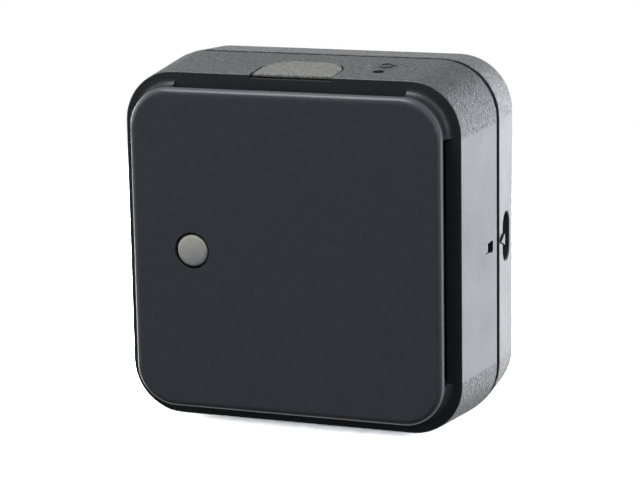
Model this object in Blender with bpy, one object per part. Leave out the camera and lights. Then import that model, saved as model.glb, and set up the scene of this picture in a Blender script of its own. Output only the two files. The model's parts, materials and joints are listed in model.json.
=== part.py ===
"""Wireless rack temperature sensor: a vented square housing with a proud front plate.

The front shell is one moulding: a square plate on four corner walls, a rim, and drafted side walls.
Air passes through the four slots between the plate and the rim, over the sensor chip on the board
behind them. The back cover snaps into the shell and leaves a reveal groove all round. The arched
key on top and the reset switch behind the pinhole are the two pieces that move.

The front faces -Y, +Z is up, and the origin is the middle of the footprint. All sizes are in metres.
"""

import math

import bmesh
import bpy
from mathutils import Matrix, Vector

MM = 0.001

# Clearances
FIT_GAP = 0.30 * MM            # between mouldings, boards and what they seat on
SOLDER_GAP = 0.10 * MM         # under the parts soldered to a board
OVERLAP = 0.50 * MM            # how far joined features of one moulding run into each other
BEYOND = 4.0 * MM              # how far a cutter runs past the face it cuts

# Housing, outside
BODY_WIDTH = 66.0 * MM         # at the reveal groove, the widest section
RIM_DRAFT = 1.4 * MM           # the shell narrows by this on each side, groove to front rim
BODY_CORNER = 10.1 * MM        # how far the widest section's corner reaches along each side
RIM_CORNER = 9.1 * MM          # the same for the front rim's corner
CORNER_LEAN = math.radians(1.5)  # the corner's arc meets the flat walls in a fine crease
SHELL_DEPTH = 16.65 * MM        # rim to groove
REVEAL = 1.5 * MM              # width of the groove between shell and cover
COVER_DEPTH = 12.25 * MM       # groove to back face
COVER_INSET = 0.58 * MM        # how much the cover narrows on each side
COVER_EDGE = 2.4 * MM          # radius round the back face
EDGE_BREAK = 0.12 * MM         # small break on the moulded edges

# Front plate and its corner walls
PLATE_INSET = 2.35 * MM        # rim's outer edge to the plate's edge
PLATE_CORNER = 7.4 * MM
PLATE_THICKNESS = 1.5 * MM
PLATE_EDGE = 1.15 * MM         # radius round the plate's front edge
AIR_SLOT = 2.8 * MM            # plate to rim
PILLAR_SETBACK = 0.1 * MM      # the corner walls stand this far inside the plate's edge
PILLAR_FILLET = 1.2 * MM       # concave foot of the corner walls on the rim
PILLAR_LEDGE = 0.3 * MM        # the rim runs this far past the corner walls, inside and at the slots
RIM_BAND = 2.8 * MM            # width of the rim's face beside the slots

# Walls
WALL = 1.8 * MM
RIM_WALL = 1.5 * MM
BACK_WALL = 2.0 * MM

# Lip and latches of the cover
LIP_REACH = 2.5 * MM           # into the shell, past its back edge
LIP_THICKNESS = 1.2 * MM
LIP_ROOT = 2.0 * MM            # length of the thick wall that carries the lip
LATCH_WIDTH = 6.0 * MM
LATCH_THICKNESS = 1.1 * MM
WINDOW_DEPTH = 1.6 * MM        # along the wall, front to back
WINDOW_HEIGHT = 2.1 * MM
WINDOW_CORNER = 0.35 * MM
WINDOW_SETBACK = 1.9 * MM      # shell's back edge to the window
WINDOW_RAMP = 2.3 * MM         # length of the ramp in front of the window
WINDOW_RAMP_WIDTH = 1.8 * MM
WINDOW_RAMP_DEPTH = 0.33 * MM  # below the wall's face, where the ramp meets the window

# Status lens
LENS_SETBACK = 11.68 * MM      # plate's left edge to the lens's axis
LENS_HOLE = 6.7 * MM
LENS_DIAMETER = 5.9 * MM
LENS_RECESS = 0.45 * MM
LENS_EDGE = 0.45 * MM          # radius round the lens's face
LENS_FLANGE = 9.0 * MM
LENS_FLANGE_THICKNESS = 1.0 * MM
LENS_TAIL = 4.0 * MM
LENS_BOSS_WALL = 1.1 * MM
LENS_BOSS_HEIGHT = 2.4 * MM

# Arched key on top
KEY_OFFSET = 0.3 * MM          # from the middle of the body
KEY_WIDTH = 15.0 * MM
KEY_DEPTH = 10.4 * MM          # rim to the back of the arch
KEY_SETBACK = 0.8 * MM         # rim to the key's straight front edge
KEY_CROWN = 0.2 * MM           # the key stands this far out of the top wall at its back
KEY_CORNER = 5.3 * MM
KEY_LIP = 0.45 * MM            # thickness where the key reaches over the sill
KEY_EDGE = 0.25 * MM           # radius round the key's face
SILL_DROP = 0.75 * MM          # how far the rim is lowered in front of the key
KEY_SKIRT = 0.8 * MM           # retaining flange, beyond the key's edge
KEY_SKIRT_THICKNESS = 0.8 * MM
KEY_STEM = 2.4 * MM
KEY_TRAVEL = 0.25 * MM

# Reset pinhole
RESET_SETBACK = 18.3 * MM      # widest section's right side to the hole's axis
RESET_HOLE = 2.2 * MM

# Port in the right wall of the cover
PORT_SETBACK = 5.3 * MM        # cover's front edge to the port's axis
PORT_WIDTH = 5.1 * MM
PORT_HEIGHT = 9.1 * MM
PORT_CHAMFER = 0.2 * MM
ARROW_LENGTH = 2.6 * MM
ARROW_HEIGHT = 2.1 * MM
ARROW_RAISE = 0.4 * MM

# Keyholes in the back face
KEYHOLE_SPACING = 32.0 * MM
KEYHOLE_RISE = 16.0 * MM       # head hole, above the middle of the back
KEYHOLE_HEAD = 7.5 * MM
KEYHOLE_SLOT = 3.8 * MM
KEYHOLE_LENGTH = 6.0 * MM

# Main board
BOARD_INSET = 4.5 * MM         # rim's outer edge to the board's edge
BOARD_CORNER = 3.0 * MM
BOARD_THICKNESS = 1.6 * MM
BOARD_HOLE_SETBACK = 5.0 * MM  # board's edges to a screw hole's axis
BOARD_HOLE = 2.6 * MM
SWITCH_AXIS_SETBACK = 5.7 * MM # rim to the axis of both switches
POST_DIAMETER = 5.2 * MM
PILOT_DIAMETER = 2.0 * MM
PILOT_DEPTH = 6.0 * MM

# Side-push switches
SWITCH_WIDTH = 6.0 * MM
SWITCH_HEIGHT = 3.5 * MM       # off the board
SWITCH_LENGTH = 4.3 * MM
SWITCH_EDGE = 0.2 * MM         # broken edges of the switch body
SWITCH_EDGE_SETBACK = 0.3 * MM # board's top edge to the switch face
PLUNGER_WIDTH = 2.6 * MM
PLUNGER_THICKNESS = 1.3 * MM
PLUNGER_REACH = 1.3 * MM       # stands this far out of the switch
PLUNGER_BURIED = 1.2 * MM
PLUNGER_CLEARANCE = 0.08 * MM

# Screws
SCREW_HEAD = 4.0 * MM
SCREW_HEAD_HEIGHT = 1.4 * MM
SCREW_HEAD_ROUND = 0.7 * MM    # slope round the top of the head
SCREW_SHANK = 1.6 * MM
SCREW_LENGTH = 5.0 * MM        # main board
POWER_SCREW_LENGTH = 3.8 * MM  # power board

# Sensor chip, on a tongue of the board beside the lower air slot
SENSOR_OFFSET = -9.0 * MM
SENSOR_SETBACK = 3.5 * MM      # board's lower edge to the middle of the chip
SENSOR_WIDTH = 3.0 * MM
SENSOR_HEIGHT = 0.9 * MM
SENSOR_PORT = 0.8 * MM
TONGUE_WIDTH = 6.0 * MM
TONGUE_LENGTH = 7.0 * MM
TONGUE_SLOT = 1.0 * MM

# Status lamp
LAMP_SIZE = (3.2 * MM, 1.1 * MM, 1.6 * MM)

# Radio module
RADIO_SETBACK = 1.0 * MM       # from the board's right edge, and from the post below
RADIO_SIZE = (18.0 * MM, 0.8 * MM, 13.0 * MM)
SHIELD_SIZE = (11.0 * MM, 1.8 * MM, 11.0 * MM)
SHIELD_EDGE = 0.3 * MM
SHIELD_SHIFT = -2.5 * MM
AERIAL_SIZE = (1.8 * MM, 1.0 * MM, 7.0 * MM)
AERIAL_SHIFT = 6.5 * MM

# Microcontroller and clock crystal, on the back of the board
CONTROLLER_SETBACK = 10.0 * MM # upper left screw's axis to the middle of the chip, across
CONTROLLER_DROP = 8.0 * MM     # the same, down
CONTROLLER_SIZE = (7.0 * MM, 1.2 * MM, 7.0 * MM)
CRYSTAL_SIZE = (3.2 * MM, 0.8 * MM, 2.5 * MM)
CRYSTAL_SHIFT = 7.5 * MM

# Lithium cell and its holder
CELL_DIAMETER = 15.6 * MM
CELL_LENGTH = 27.0 * MM
CELL_EDGE = 0.6 * MM
CELL_NUB = 6.5 * MM
CELL_NUB_HEIGHT = 0.8 * MM
HOLDER_FLOOR = 1.2 * MM
HOLDER_WALL = 1.2 * MM
HOLDER_HEIGHT = 11.0 * MM
CONTACT_THICKNESS = 0.4 * MM
CONTACT_WIDTH = 8.0 * MM
CONTACT_BUMP = 0.5 * MM

# Power board in the cover, with the socket of the port
POWER_BOARD_SIZE = (17.0 * MM, 1.2 * MM, 21.0 * MM)
POWER_BOARD_CORNER = 1.0 * MM
POWER_HOLE_SETBACK = 2.6 * MM
POWER_POST = 4.4 * MM
SOCKET_HEIGHT = 2.6 * MM       # off the board
SOCKET_WIDTH = 7.5 * MM
SOCKET_LENGTH = 5.6 * MM
SOCKET_SKIN = 0.3 * MM
TONGUE_PLATE_WIDTH = 4.6 * MM
TONGUE_PLATE_THICKNESS = 0.65 * MM
TONGUE_PLATE_LENGTH = 4.0 * MM

# Header between the two boards
HEADER_SETBACK = 3.2 * MM      # power board's left edge to the row of pins
HEADER_CLEARANCE = 0.7 * MM    # to the battery holder
HEADER_PINS = 4
HEADER_PITCH = 2.54 * MM
HEADER_WIDTH = 2.5 * MM
HEADER_HEIGHT = 2.5 * MM
PIN_WIDTH = 0.64 * MM
PIN_BURIED = 4.0 * MM          # length of pin inside the board socket
BOARD_SOCKET_HEIGHT = 6.0 * MM
PIN_CLEARANCE = 0.15 * MM

# Chip capacitors and resistors
CHIP_SIZE = (2.0 * MM, 0.8 * MM, 1.25 * MM)
CHIP_EDGE = 0.12 * MM          # broken edges of the moulded and ceramic parts
CHIP_PITCH = 3.4 * MM
CHIP_CLEARANCE = 3.0 * MM      # beside the light pipe's flange, and above the controller
FRONT_CHIP_RISE = 9.0 * MM     # above the middle of the board
FRONT_CHIPS = 4
BACK_CHIPS = 4
POWER_CHIPS = 2

# Facets
CORNER_STEPS = 12              # of a quarter turn on the housing
FILLET_STEPS = 5
ROUND_SEGMENTS = 32
SMALL_SEGMENTS = 20
SMOOTH_ANGLE = math.radians(32.0)

# Places worked out from the sizes above
BODY_HALF = BODY_WIDTH / 2
RIM_HALF = BODY_HALF - RIM_DRAFT
PLATE_HALF = RIM_HALF - PLATE_INSET
MIDDLE_Z = BODY_HALF
DEPTH = PLATE_THICKNESS + AIR_SLOT + SHELL_DEPTH + REVEAL + COVER_DEPTH
FACE_Y = -DEPTH / 2
PLATE_BACK_Y = FACE_Y + PLATE_THICKNESS
RIM_Y = PLATE_BACK_Y + AIR_SLOT
SHELL_BACK_Y = RIM_Y + SHELL_DEPTH
COVER_FRONT_Y = SHELL_BACK_Y + REVEAL
BACK_Y = FACE_Y + DEPTH
COVER_EDGE_Y = BACK_Y - COVER_EDGE
COVER_FLOOR_Y = BACK_Y - BACK_WALL

SWITCH_AXIS_Y = RIM_Y + SWITCH_AXIS_SETBACK
BOARD_FRONT_Y = SWITCH_AXIS_Y + SWITCH_HEIGHT / 2 + SOLDER_GAP
BOARD_BACK_Y = BOARD_FRONT_Y + BOARD_THICKNESS
BOARD_HALF = RIM_HALF - BOARD_INSET
BOARD_HOLE_HALF = BOARD_HALF - BOARD_HOLE_SETBACK
SWITCH_TOP_Z = MIDDLE_Z + BOARD_HALF - SWITCH_EDGE_SETBACK
PLUNGER_TOP_Z = SWITCH_TOP_Z + PLUNGER_REACH

PORT_Y = COVER_FRONT_Y + PORT_SETBACK
PORT_Z = MIDDLE_Z
POWER_FRONT_Y = PORT_Y + SOCKET_HEIGHT / 2 + SOLDER_GAP
POWER_BACK_Y = POWER_FRONT_Y + POWER_BOARD_SIZE[1]
WINDOW_Y = SHELL_BACK_Y - WINDOW_SETBACK - WINDOW_DEPTH / 2
LENS_X = LENS_SETBACK - PLATE_HALF
RESET_X = BODY_HALF - RESET_SETBACK
CONTROLLER_X = CONTROLLER_SETBACK - BOARD_HOLE_HALF
CONTROLLER_Z = MIDDLE_Z + BOARD_HOLE_HALF - CONTROLLER_DROP
HOLDER_HALF_HEIGHT = CELL_DIAMETER / 2 + FIT_GAP + HOLDER_WALL / 2
CELL_Y = BOARD_BACK_Y + SOLDER_GAP + HOLDER_FLOOR + FIT_GAP + CELL_DIAMETER / 2
CELL_Z = MIDDLE_Z - BOARD_HOLE_HALF + SCREW_HEAD / 2 + FIT_GAP + HOLDER_HALF_HEIGHT


def shell_half(y):
    """Half the outer width of the front shell's drafted wall at a depth."""
    return RIM_HALF + (BODY_HALF - RIM_HALF) * (y - RIM_Y) / SHELL_DEPTH


def cover_half(y):
    """Half the outer width of the back cover's tapered wall at a depth."""
    return BODY_HALF - COVER_INSET * (y - COVER_FRONT_Y) / (COVER_EDGE_Y - COVER_FRONT_Y)


def corner_at(half):
    """How far the corner of a housing section reaches, by the section's half width."""
    return BODY_CORNER - (BODY_CORNER - RIM_CORNER) * (BODY_HALF - half) / RIM_DRAFT


def material(name, colour, roughness, metallic=0.0, alpha=1.0):
    """A Principled material of one colour."""
    made = bpy.data.materials.new(name)
    made.use_nodes = True
    shader = made.node_tree.nodes["Principled BSDF"]
    shader.inputs["Base Color"].default_value = (*colour, 1.0)
    shader.inputs["Roughness"].default_value = roughness
    shader.inputs["Metallic"].default_value = metallic
    shader.inputs["Alpha"].default_value = alpha
    return made


def finished(name, bm, surface, location=(0.0, 0.0, 0.0), parent=None):
    """Turn a bmesh into a smooth-shaded object with one material."""
    bmesh.ops.recalc_face_normals(bm, faces=bm.faces)
    mesh = bpy.data.meshes.new(name)
    bm.to_mesh(mesh)
    bm.free()
    mesh.shade_smooth()
    mesh.set_sharp_from_angle(angle=SMOOTH_ANGLE)
    mesh.materials.append(surface)
    made = bpy.data.objects.new(name, mesh)
    bpy.context.scene.collection.objects.link(made)
    made.location = location
    made.parent = parent
    return made


def hidden_tool(name, bm, target):
    """A cutter or a feature that a Boolean takes into its target."""
    tool = finished(name, bm, target.data.materials[0], target.location, target.parent)
    tool.hide_render = True
    tool.display_type = "WIRE"
    return tool


def boolean(target, operation, name, bm):
    """Cut a shape from the target, or join one to it."""
    step = target.modifiers.new(name, "BOOLEAN")
    step.operation = operation
    step.solver = "EXACT"
    step.object = hidden_tool(target.name + "_" + name, bm, target)


def cut(target, name, bm):
    """Cut a shape from the target."""
    boolean(target, "DIFFERENCE", name, bm)


def join(target, name, bm):
    """Join a shape to the target."""
    boolean(target, "UNION", name, bm)


def closed_loop(bm, points):
    """The edges of one closed loop through the points."""
    verts = [bm.verts.new(point) for point in points]
    return [bm.edges.new((verts[i - 1], verts[i])) for i in range(len(verts))]


def corner_points(half_x, half_z, reach, steps=CORNER_STEPS, lean=0.0):
    """Points round a rectangle with round corners, in its own plane, from the right side.

    A corner reaches the given length along each side. Its arc leaves both sides at the lean's angle.
    """
    radius = reach / (math.sqrt(2) * math.sin(math.pi / 4 - lean))
    inset = reach / 2 + radius * math.cos(math.pi / 4 - lean) / math.sqrt(2)
    points = []
    for quarter in range(4):
        side_x = 1 if quarter in (0, 3) else -1
        side_z = 1 if quarter in (0, 1) else -1
        for step in range(steps + 1):
            angle = quarter * math.pi / 2 + lean + step / steps * (math.pi / 2 - 2 * lean)
            points.append((side_x * (half_x - inset) + radius * math.cos(angle),
                           side_z * (half_z - inset) + radius * math.sin(angle)))
    return points


def loft(bm, sections, lean=0.0):
    """A closed solid through square sections with round corners: (half width, corner, y) each."""
    loops = []
    for half, corner, y in sections:
        outline = corner_points(half, half, corner, lean=lean)
        loops.append(closed_loop(bm, [(x, y, MIDDLE_Z + z) for x, z in outline]))
    for first, second in zip(loops, loops[1:]):
        bmesh.ops.bridge_loops(bm, edges=first + second)
    bmesh.ops.holes_fill(bm, edges=loops[0] + loops[-1], sides=0)
    return bm


def housing_section(half, y):
    """A section of the housing, its corner in step with its width."""
    return (half, corner_at(half), y)


def prism(bm, outline, thickness):
    """A flat outline pushed along a vector."""
    face = bm.faces.new([bm.verts.new(point) for point in outline])
    pushed = bmesh.ops.extrude_face_region(bm, geom=[face])
    moved = [item for item in pushed["geom"] if isinstance(item, bmesh.types.BMVert)]
    bmesh.ops.translate(bm, verts=moved, vec=Vector(thickness))
    return bm


def box(bm, low, high):
    """A box between two corners."""
    middle = (Vector(low) + Vector(high)) / 2
    size = Vector(high) - Vector(low)
    place = Matrix.Translation(middle) @ Matrix.Diagonal((*size, 1.0))
    bmesh.ops.create_cube(bm, size=1.0, matrix=place)
    return bm


def rod(bm, start, end, diameter, segments=ROUND_SEGMENTS):
    """A cylinder from one point to another."""
    way = Vector(end) - Vector(start)
    turn = way.to_track_quat("Z", "Y").to_matrix().to_4x4()
    place = Matrix.Translation((Vector(start) + Vector(end)) / 2) @ turn
    bmesh.ops.create_cone(bm, cap_ends=True, segments=segments, radius1=diameter / 2,
                          radius2=diameter / 2, depth=way.length, matrix=place)
    return bm


def turned(bm, profile, segments=ROUND_SEGMENTS):
    """A solid turned about Y from a profile of (radius, y) that starts and ends on the axis."""
    verts = [bm.verts.new((radius, y, 0.0)) for radius, y in profile]
    edges = [bm.edges.new(pair) for pair in zip(verts, verts[1:])]
    bmesh.ops.spin(bm, geom=verts + edges, axis=(0.0, 1.0, 0.0), cent=(0.0, 0.0, 0.0),
                   angle=math.tau, steps=segments, use_merge=True)
    bmesh.ops.remove_doubles(bm, verts=bm.verts, dist=0.0005 * MM)
    return bm


def block(name, size, surface, location, parent, edge=CHIP_EDGE):
    """A small rectangular part with broken edges, centred on its location."""
    bm = bmesh.new()
    half = Vector(size) / 2
    box(bm, -half, half)
    bmesh.ops.bevel(bm, geom=bm.edges[:], offset=edge, segments=1, affect="EDGES", profile=0.5,
                    material=-1)
    return finished(name, bm, surface, location, parent)


def arch_points(half_width, front, back, radius, steps=CORNER_STEPS):
    """Outline of the arched key in plan: a straight front and two round back corners."""
    points = [(-half_width, front), (half_width, front)]
    for side in (1, -1):
        for step in range(steps + 1):
            angle = (step / steps) * math.pi / 2
            if side < 0:
                angle = math.pi / 2 + angle
            points.append((side * (half_width - radius) + radius * math.cos(angle),
                           back - radius + radius * math.sin(angle)))
    return points


def sloped_slab(bm, outline, top, thickness, origin=(0.0, 0.0, 0.0)):
    """A slab whose top follows a height that changes with depth, such as the drafted top wall."""
    place = Vector(origin)
    upper = [Vector((x, y, top(y))) - place for x, y in outline]
    return prism(bm, upper, (0.0, 0.0, -thickness))


def top_wall(y):
    """Height of the shell's top surface at a depth."""
    return MIDDLE_Z + shell_half(y)


def under_top_wall(y):
    """Height of the inner side of the shell's top wall at a depth."""
    return top_wall(y) - WALL


def stadium_points(height, width):
    """Outline of an upright slot with round ends, in its own plane."""
    return corner_points(width / 2, height / 2, width / 2, steps=CORNER_STEPS // 2)


def shell_body(surface, parent):
    """The shell's drafted outside, before the hollow and the front features."""
    bm = bmesh.new()
    broken = RIM_Y + EDGE_BREAK
    end = SHELL_BACK_Y - EDGE_BREAK
    loft(bm, [housing_section(shell_half(RIM_Y) - EDGE_BREAK, RIM_Y),
              housing_section(shell_half(broken), broken),
              housing_section(shell_half(end), end),
              housing_section(BODY_HALF - EDGE_BREAK, SHELL_BACK_Y)], CORNER_LEAN)
    return finished("front_shell", bm, surface, parent=parent)


def shell_hollow():
    """The room inside the drafted walls, open at the back."""
    start = RIM_Y + RIM_WALL
    end = SHELL_BACK_Y + BEYOND
    bm = bmesh.new()
    return loft(bm, [housing_section(shell_half(start) - WALL, start),
                     housing_section(shell_half(end) - WALL, end)])


def rim_opening():
    """The way through the rim: a square with round corners, widened beside each air slot."""
    pull = PILLAR_SETBACK + WALL + PILLAR_LEDGE
    half = PLATE_HALF - pull
    corner = PLATE_CORNER - pull
    bm = bmesh.new()
    return loft(bm, [(half, corner, RIM_Y - BEYOND), (half, corner, RIM_Y + BEYOND)])


def slot_mouth(across, along):
    """The widening of the rim opening beside one pair of air slots."""
    bm = bmesh.new()
    return box(bm, (-across, RIM_Y - BEYOND, MIDDLE_Z - along), (across, RIM_Y + BEYOND, MIDDLE_Z + along))


def plate():
    """The front plate, with its rounded front edge."""
    bm = bmesh.new()
    sections = []
    for step in range(FILLET_STEPS + 1):
        angle = step / FILLET_STEPS * math.pi / 2
        pull = PLATE_EDGE * (1 - math.sin(angle))
        depth = PLATE_EDGE * (1 - math.cos(angle))
        sections.append((PLATE_HALF - pull, PLATE_CORNER - pull, FACE_Y + depth))
    sections.append((PLATE_HALF, PLATE_CORNER, PLATE_BACK_Y))
    return loft(bm, sections)


def corner_walls():
    """The four quarter-round walls that carry the plate, each with a concave foot on the rim."""
    outer = PLATE_CORNER - PILLAR_SETBACK
    inner = outer - WALL
    foot = RIM_Y + RIM_WALL / 2
    profile = [(inner, foot), (inner, PLATE_BACK_Y - OVERLAP), (outer, PLATE_BACK_Y - OVERLAP)]
    for step in range(FILLET_STEPS + 1):
        angle = step / FILLET_STEPS * math.pi / 2
        profile.append((outer + PILLAR_FILLET * (1 - math.cos(angle)),
                        RIM_Y - PILLAR_FILLET * (1 - math.sin(angle))))
    profile.append((outer + PILLAR_FILLET, foot))
    centre = PLATE_HALF - PLATE_CORNER
    bm = bmesh.new()
    for quarter in range(4):
        turn = Matrix.Rotation(-quarter * math.pi / 2, 4, "Y")
        here = Matrix.Translation((0.0, 0.0, MIDDLE_Z)) @ turn
        verts = [bm.verts.new(here @ Vector((centre + radius, y, centre))) for radius, y in profile]
        edges = [bm.edges.new((verts[i - 1], verts[i])) for i in range(len(verts))]
        axis_point = here @ Vector((centre, 0.0, centre))
        bmesh.ops.spin(bm, geom=verts + edges, axis=(0.0, -1.0, 0.0), cent=axis_point,
                       angle=math.pi / 2, steps=CORNER_STEPS)
    open_edges = [edge for edge in bm.edges if edge.is_boundary]
    bmesh.ops.holes_fill(bm, edges=open_edges, sides=0)
    return bm


def board_hole_places():
    """The four screw places of the main board."""
    half = BOARD_HOLE_HALF
    return [(side_x * half, MIDDLE_Z + side_z * half) for side_x in (-1, 1) for side_z in (-1, 1)]


def board_posts():
    """Posts on the back of the plate that carry the board, and the collar of the light pipe."""
    front = PLATE_BACK_Y - OVERLAP
    bm = bmesh.new()
    for x, z in board_hole_places():
        rod(bm, (x, front, z), (x, BOARD_FRONT_Y - FIT_GAP, z), POST_DIAMETER, SMALL_SEGMENTS)
    collar = LENS_FLANGE + 2 * (FIT_GAP + LENS_BOSS_WALL)
    rod(bm, (LENS_X, front, MIDDLE_Z), (LENS_X, PLATE_BACK_Y + LENS_BOSS_HEIGHT, MIDDLE_Z), collar)
    return bm


def bores():
    """Pilot holes of the posts and the flange seat in the collar."""
    bm = bmesh.new()
    for x, z in board_hole_places():
        rod(bm, (x, BOARD_FRONT_Y - FIT_GAP - PILOT_DEPTH, z), (x, BOARD_FRONT_Y + BEYOND, z),
            PILOT_DIAMETER, SMALL_SEGMENTS)
    rod(bm, (LENS_X, PLATE_BACK_Y, MIDDLE_Z),
        (LENS_X, PLATE_BACK_Y + LENS_BOSS_HEIGHT + BEYOND, MIDDLE_Z), LENS_FLANGE + 2 * FIT_GAP)
    return bm


def lens_hole():
    """The round hole in the plate."""
    bm = bmesh.new()
    return rod(bm, (LENS_X, FACE_Y - BEYOND, MIDDLE_Z),
               (LENS_X, PLATE_BACK_Y + LENS_BOSS_HEIGHT / 2, MIDDLE_Z), LENS_HOLE)


def key_outline(grow, front):
    """Plan of the arched key, grown on its sides and back, with its front edge at a depth."""
    points = arch_points(KEY_WIDTH / 2 + grow, front, RIM_Y + KEY_DEPTH + grow, KEY_CORNER + grow)
    return [(KEY_OFFSET + x, y) for x, y in points]


def key_top(y):
    """Height of the key's face at a depth: level with the top wall in front, proud of it behind."""
    return top_wall(y) + KEY_CROWN * (y - RIM_Y - KEY_SETBACK) / (KEY_DEPTH - KEY_SETBACK)


def key_loop(bm, pull, height, origin):
    """One loop round the key, pulled in from its edge, at a height that changes with depth."""
    outline = key_outline(-pull, RIM_Y + KEY_SETBACK + pull)
    return closed_loop(bm, [Vector((x, y, height(y))) - origin for x, y in outline])


def key_notch():
    """The shallow step of the key opening, open through the rim above the sill."""
    bm = bmesh.new()
    outline = key_outline(FIT_GAP, RIM_Y - BEYOND)
    return sloped_slab(bm, outline, lambda y: top_wall(y) + BEYOND, BEYOND + SILL_DROP)


def key_well():
    """The deep part of the key opening, behind the sill."""
    bm = bmesh.new()
    outline = key_outline(FIT_GAP, RIM_Y + RIM_WALL)
    return sloped_slab(bm, outline, lambda y: top_wall(y) + BEYOND, 2 * BEYOND + WALL)


def reset_hole():
    """The pinhole through the top wall."""
    bm = bmesh.new()
    return rod(bm, (RESET_X, SWITCH_AXIS_Y, under_top_wall(SWITCH_AXIS_Y) - BEYOND),
               (RESET_X, SWITCH_AXIS_Y, top_wall(SWITCH_AXIS_Y) + BEYOND), RESET_HOLE, SMALL_SEGMENTS)


def latch_window(side):
    """One latch window: an upright hole with round corners in the side wall."""
    deep = shell_half(WINDOW_Y) - WALL - BEYOND
    outline = corner_points(WINDOW_DEPTH / 2, WINDOW_HEIGHT / 2, WINDOW_CORNER, steps=3)
    bm = bmesh.new()
    return prism(bm, [(side * deep, WINDOW_Y + along, MIDDLE_Z + up) for along, up in outline],
                 (side * (WALL + 2 * BEYOND), 0.0, 0.0))


def latch_ramp(side):
    """The shallow ramp that runs down into one latch window from the wall in front of it."""
    front = WINDOW_Y - WINDOW_DEPTH / 2
    start = Vector((shell_half(front - WINDOW_RAMP), front - WINDOW_RAMP))
    end = Vector((shell_half(front) - WINDOW_RAMP_DEPTH, front))
    reach = (end - start) / WINDOW_RAMP * 2 * WINDOW_CORNER
    start, end = start - reach, end + reach
    outside = Vector((BODY_HALF - start.x + BEYOND, 0.0))
    outline = [start, end, end + outside, start + outside]
    bm = bmesh.new()
    return prism(bm, [(side * x, y, MIDDLE_Z - WINDOW_RAMP_WIDTH / 2) for x, y in outline],
                 (0.0, 0.0, WINDOW_RAMP_WIDTH))


def front_shell(surface, parent):
    """The front shell: plate, corner walls, rim and side walls in one moulding."""
    shell = shell_body(surface, parent)
    cut(shell, "hollow", shell_hollow())
    cut(shell, "rim_opening", rim_opening())
    mouth = RIM_HALF - RIM_BAND
    slot_half = PLATE_HALF - PLATE_CORNER - PILLAR_LEDGE
    cut(shell, "upper_and_lower_mouth", slot_mouth(slot_half, mouth))
    cut(shell, "left_and_right_mouth", slot_mouth(mouth, slot_half))
    join(shell, "corner_walls", corner_walls())
    join(shell, "plate", plate())
    join(shell, "posts", board_posts())
    cut(shell, "bores", bores())
    cut(shell, "lens_hole", lens_hole())
    cut(shell, "key_notch", key_notch())
    cut(shell, "key_well", key_well())
    cut(shell, "reset_hole", reset_hole())
    for side, name in ((1, "right_window"), (-1, "left_window")):
        cut(shell, name, latch_window(side))
        cut(shell, name + "_ramp", latch_ramp(side))
    return shell


def cover_body(surface, parent):
    """The cover's tapered outside, with the radius round its back face."""
    broken = COVER_FRONT_Y + EDGE_BREAK
    sections = [housing_section(BODY_HALF - EDGE_BREAK, COVER_FRONT_Y),
                housing_section(cover_half(broken), broken)]
    for step in range(FILLET_STEPS + 1):
        angle = step / FILLET_STEPS * math.pi / 2
        half = cover_half(COVER_EDGE_Y) - COVER_EDGE * (1 - math.cos(angle))
        sections.append(housing_section(half, COVER_EDGE_Y + COVER_EDGE * math.sin(angle)))
    bm = bmesh.new()
    loft(bm, sections, CORNER_LEAN)
    return finished("back_cover", bm, surface, parent=parent)


def lip_front():
    """Depth at which the cover's lip ends inside the shell."""
    return SHELL_BACK_Y - LIP_REACH


def cover_lip():
    """The lip that runs into the shell, thick enough at its root to join the cover's wall."""
    start = lip_front()
    narrow = shell_half(start) - WALL - FIT_GAP
    bm = bmesh.new()
    return loft(bm, [housing_section(narrow - EDGE_BREAK, start),
                     housing_section(narrow, start + EDGE_BREAK),
                     housing_section(narrow, COVER_FRONT_Y + OVERLAP)])


def cover_hollow():
    """The room inside the cover, stepped out behind the lip's root."""
    start = lip_front()
    inside_lip = shell_half(start) - WALL - FIT_GAP - LIP_THICKNESS
    root_end = COVER_FRONT_Y + LIP_ROOT
    wall_start = root_end + WALL
    bm = bmesh.new()
    return loft(bm, [housing_section(inside_lip, start - BEYOND),
                     housing_section(inside_lip, root_end),
                     housing_section(cover_half(wall_start) - WALL, wall_start),
                     housing_section(cover_half(COVER_EDGE_Y) - WALL, COVER_FLOOR_Y)])


def latch(side):
    """One latch: an arm that carries on from the lip, with a nose that fills the shell's window."""
    window_front = WINDOW_Y - WINDOW_DEPTH / 2
    arm_front = window_front - FIT_GAP
    narrow = shell_half(arm_front) - WALL - FIT_GAP
    root = lip_front() + LIP_REACH
    bm = bmesh.new()
    arm = [(narrow - LATCH_THICKNESS, arm_front), (narrow, arm_front), (narrow, root),
           (narrow - LATCH_THICKNESS, root)]
    prism(bm, [(side * x, y, MIDDLE_Z - LATCH_WIDTH / 2) for x, y in arm], (0.0, 0.0, LATCH_WIDTH))
    return bm


def latch_nose(side):
    """The hooked nose of one latch, ramped at its front so that it rides over the shell's wall."""
    window_front = WINDOW_Y - WINDOW_DEPTH / 2
    window_back = WINDOW_Y + WINDOW_DEPTH / 2
    narrow = shell_half(window_front - FIT_GAP) - WALL - FIT_GAP
    reach = shell_half(window_front) - WALL / 2
    outline = [(narrow - OVERLAP, window_front), (reach, window_back - FIT_GAP - WINDOW_DEPTH / 3),
               (reach, window_back - FIT_GAP), (narrow - OVERLAP, window_back - FIT_GAP)]
    height = WINDOW_HEIGHT - 2 * FIT_GAP
    bm = bmesh.new()
    return prism(bm, [(side * x, y, MIDDLE_Z - height / 2) for x, y in outline], (0.0, 0.0, height))


def port_opening():
    """The upright slot with round ends in the cover's right wall."""
    outline = [(cover_half(PORT_Y) - WALL - BEYOND, PORT_Y + across, PORT_Z + up)
               for across, up in stadium_points(PORT_HEIGHT, PORT_WIDTH)]
    bm = bmesh.new()
    return prism(bm, outline, (WALL + 2 * BEYOND, 0.0, 0.0))


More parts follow.
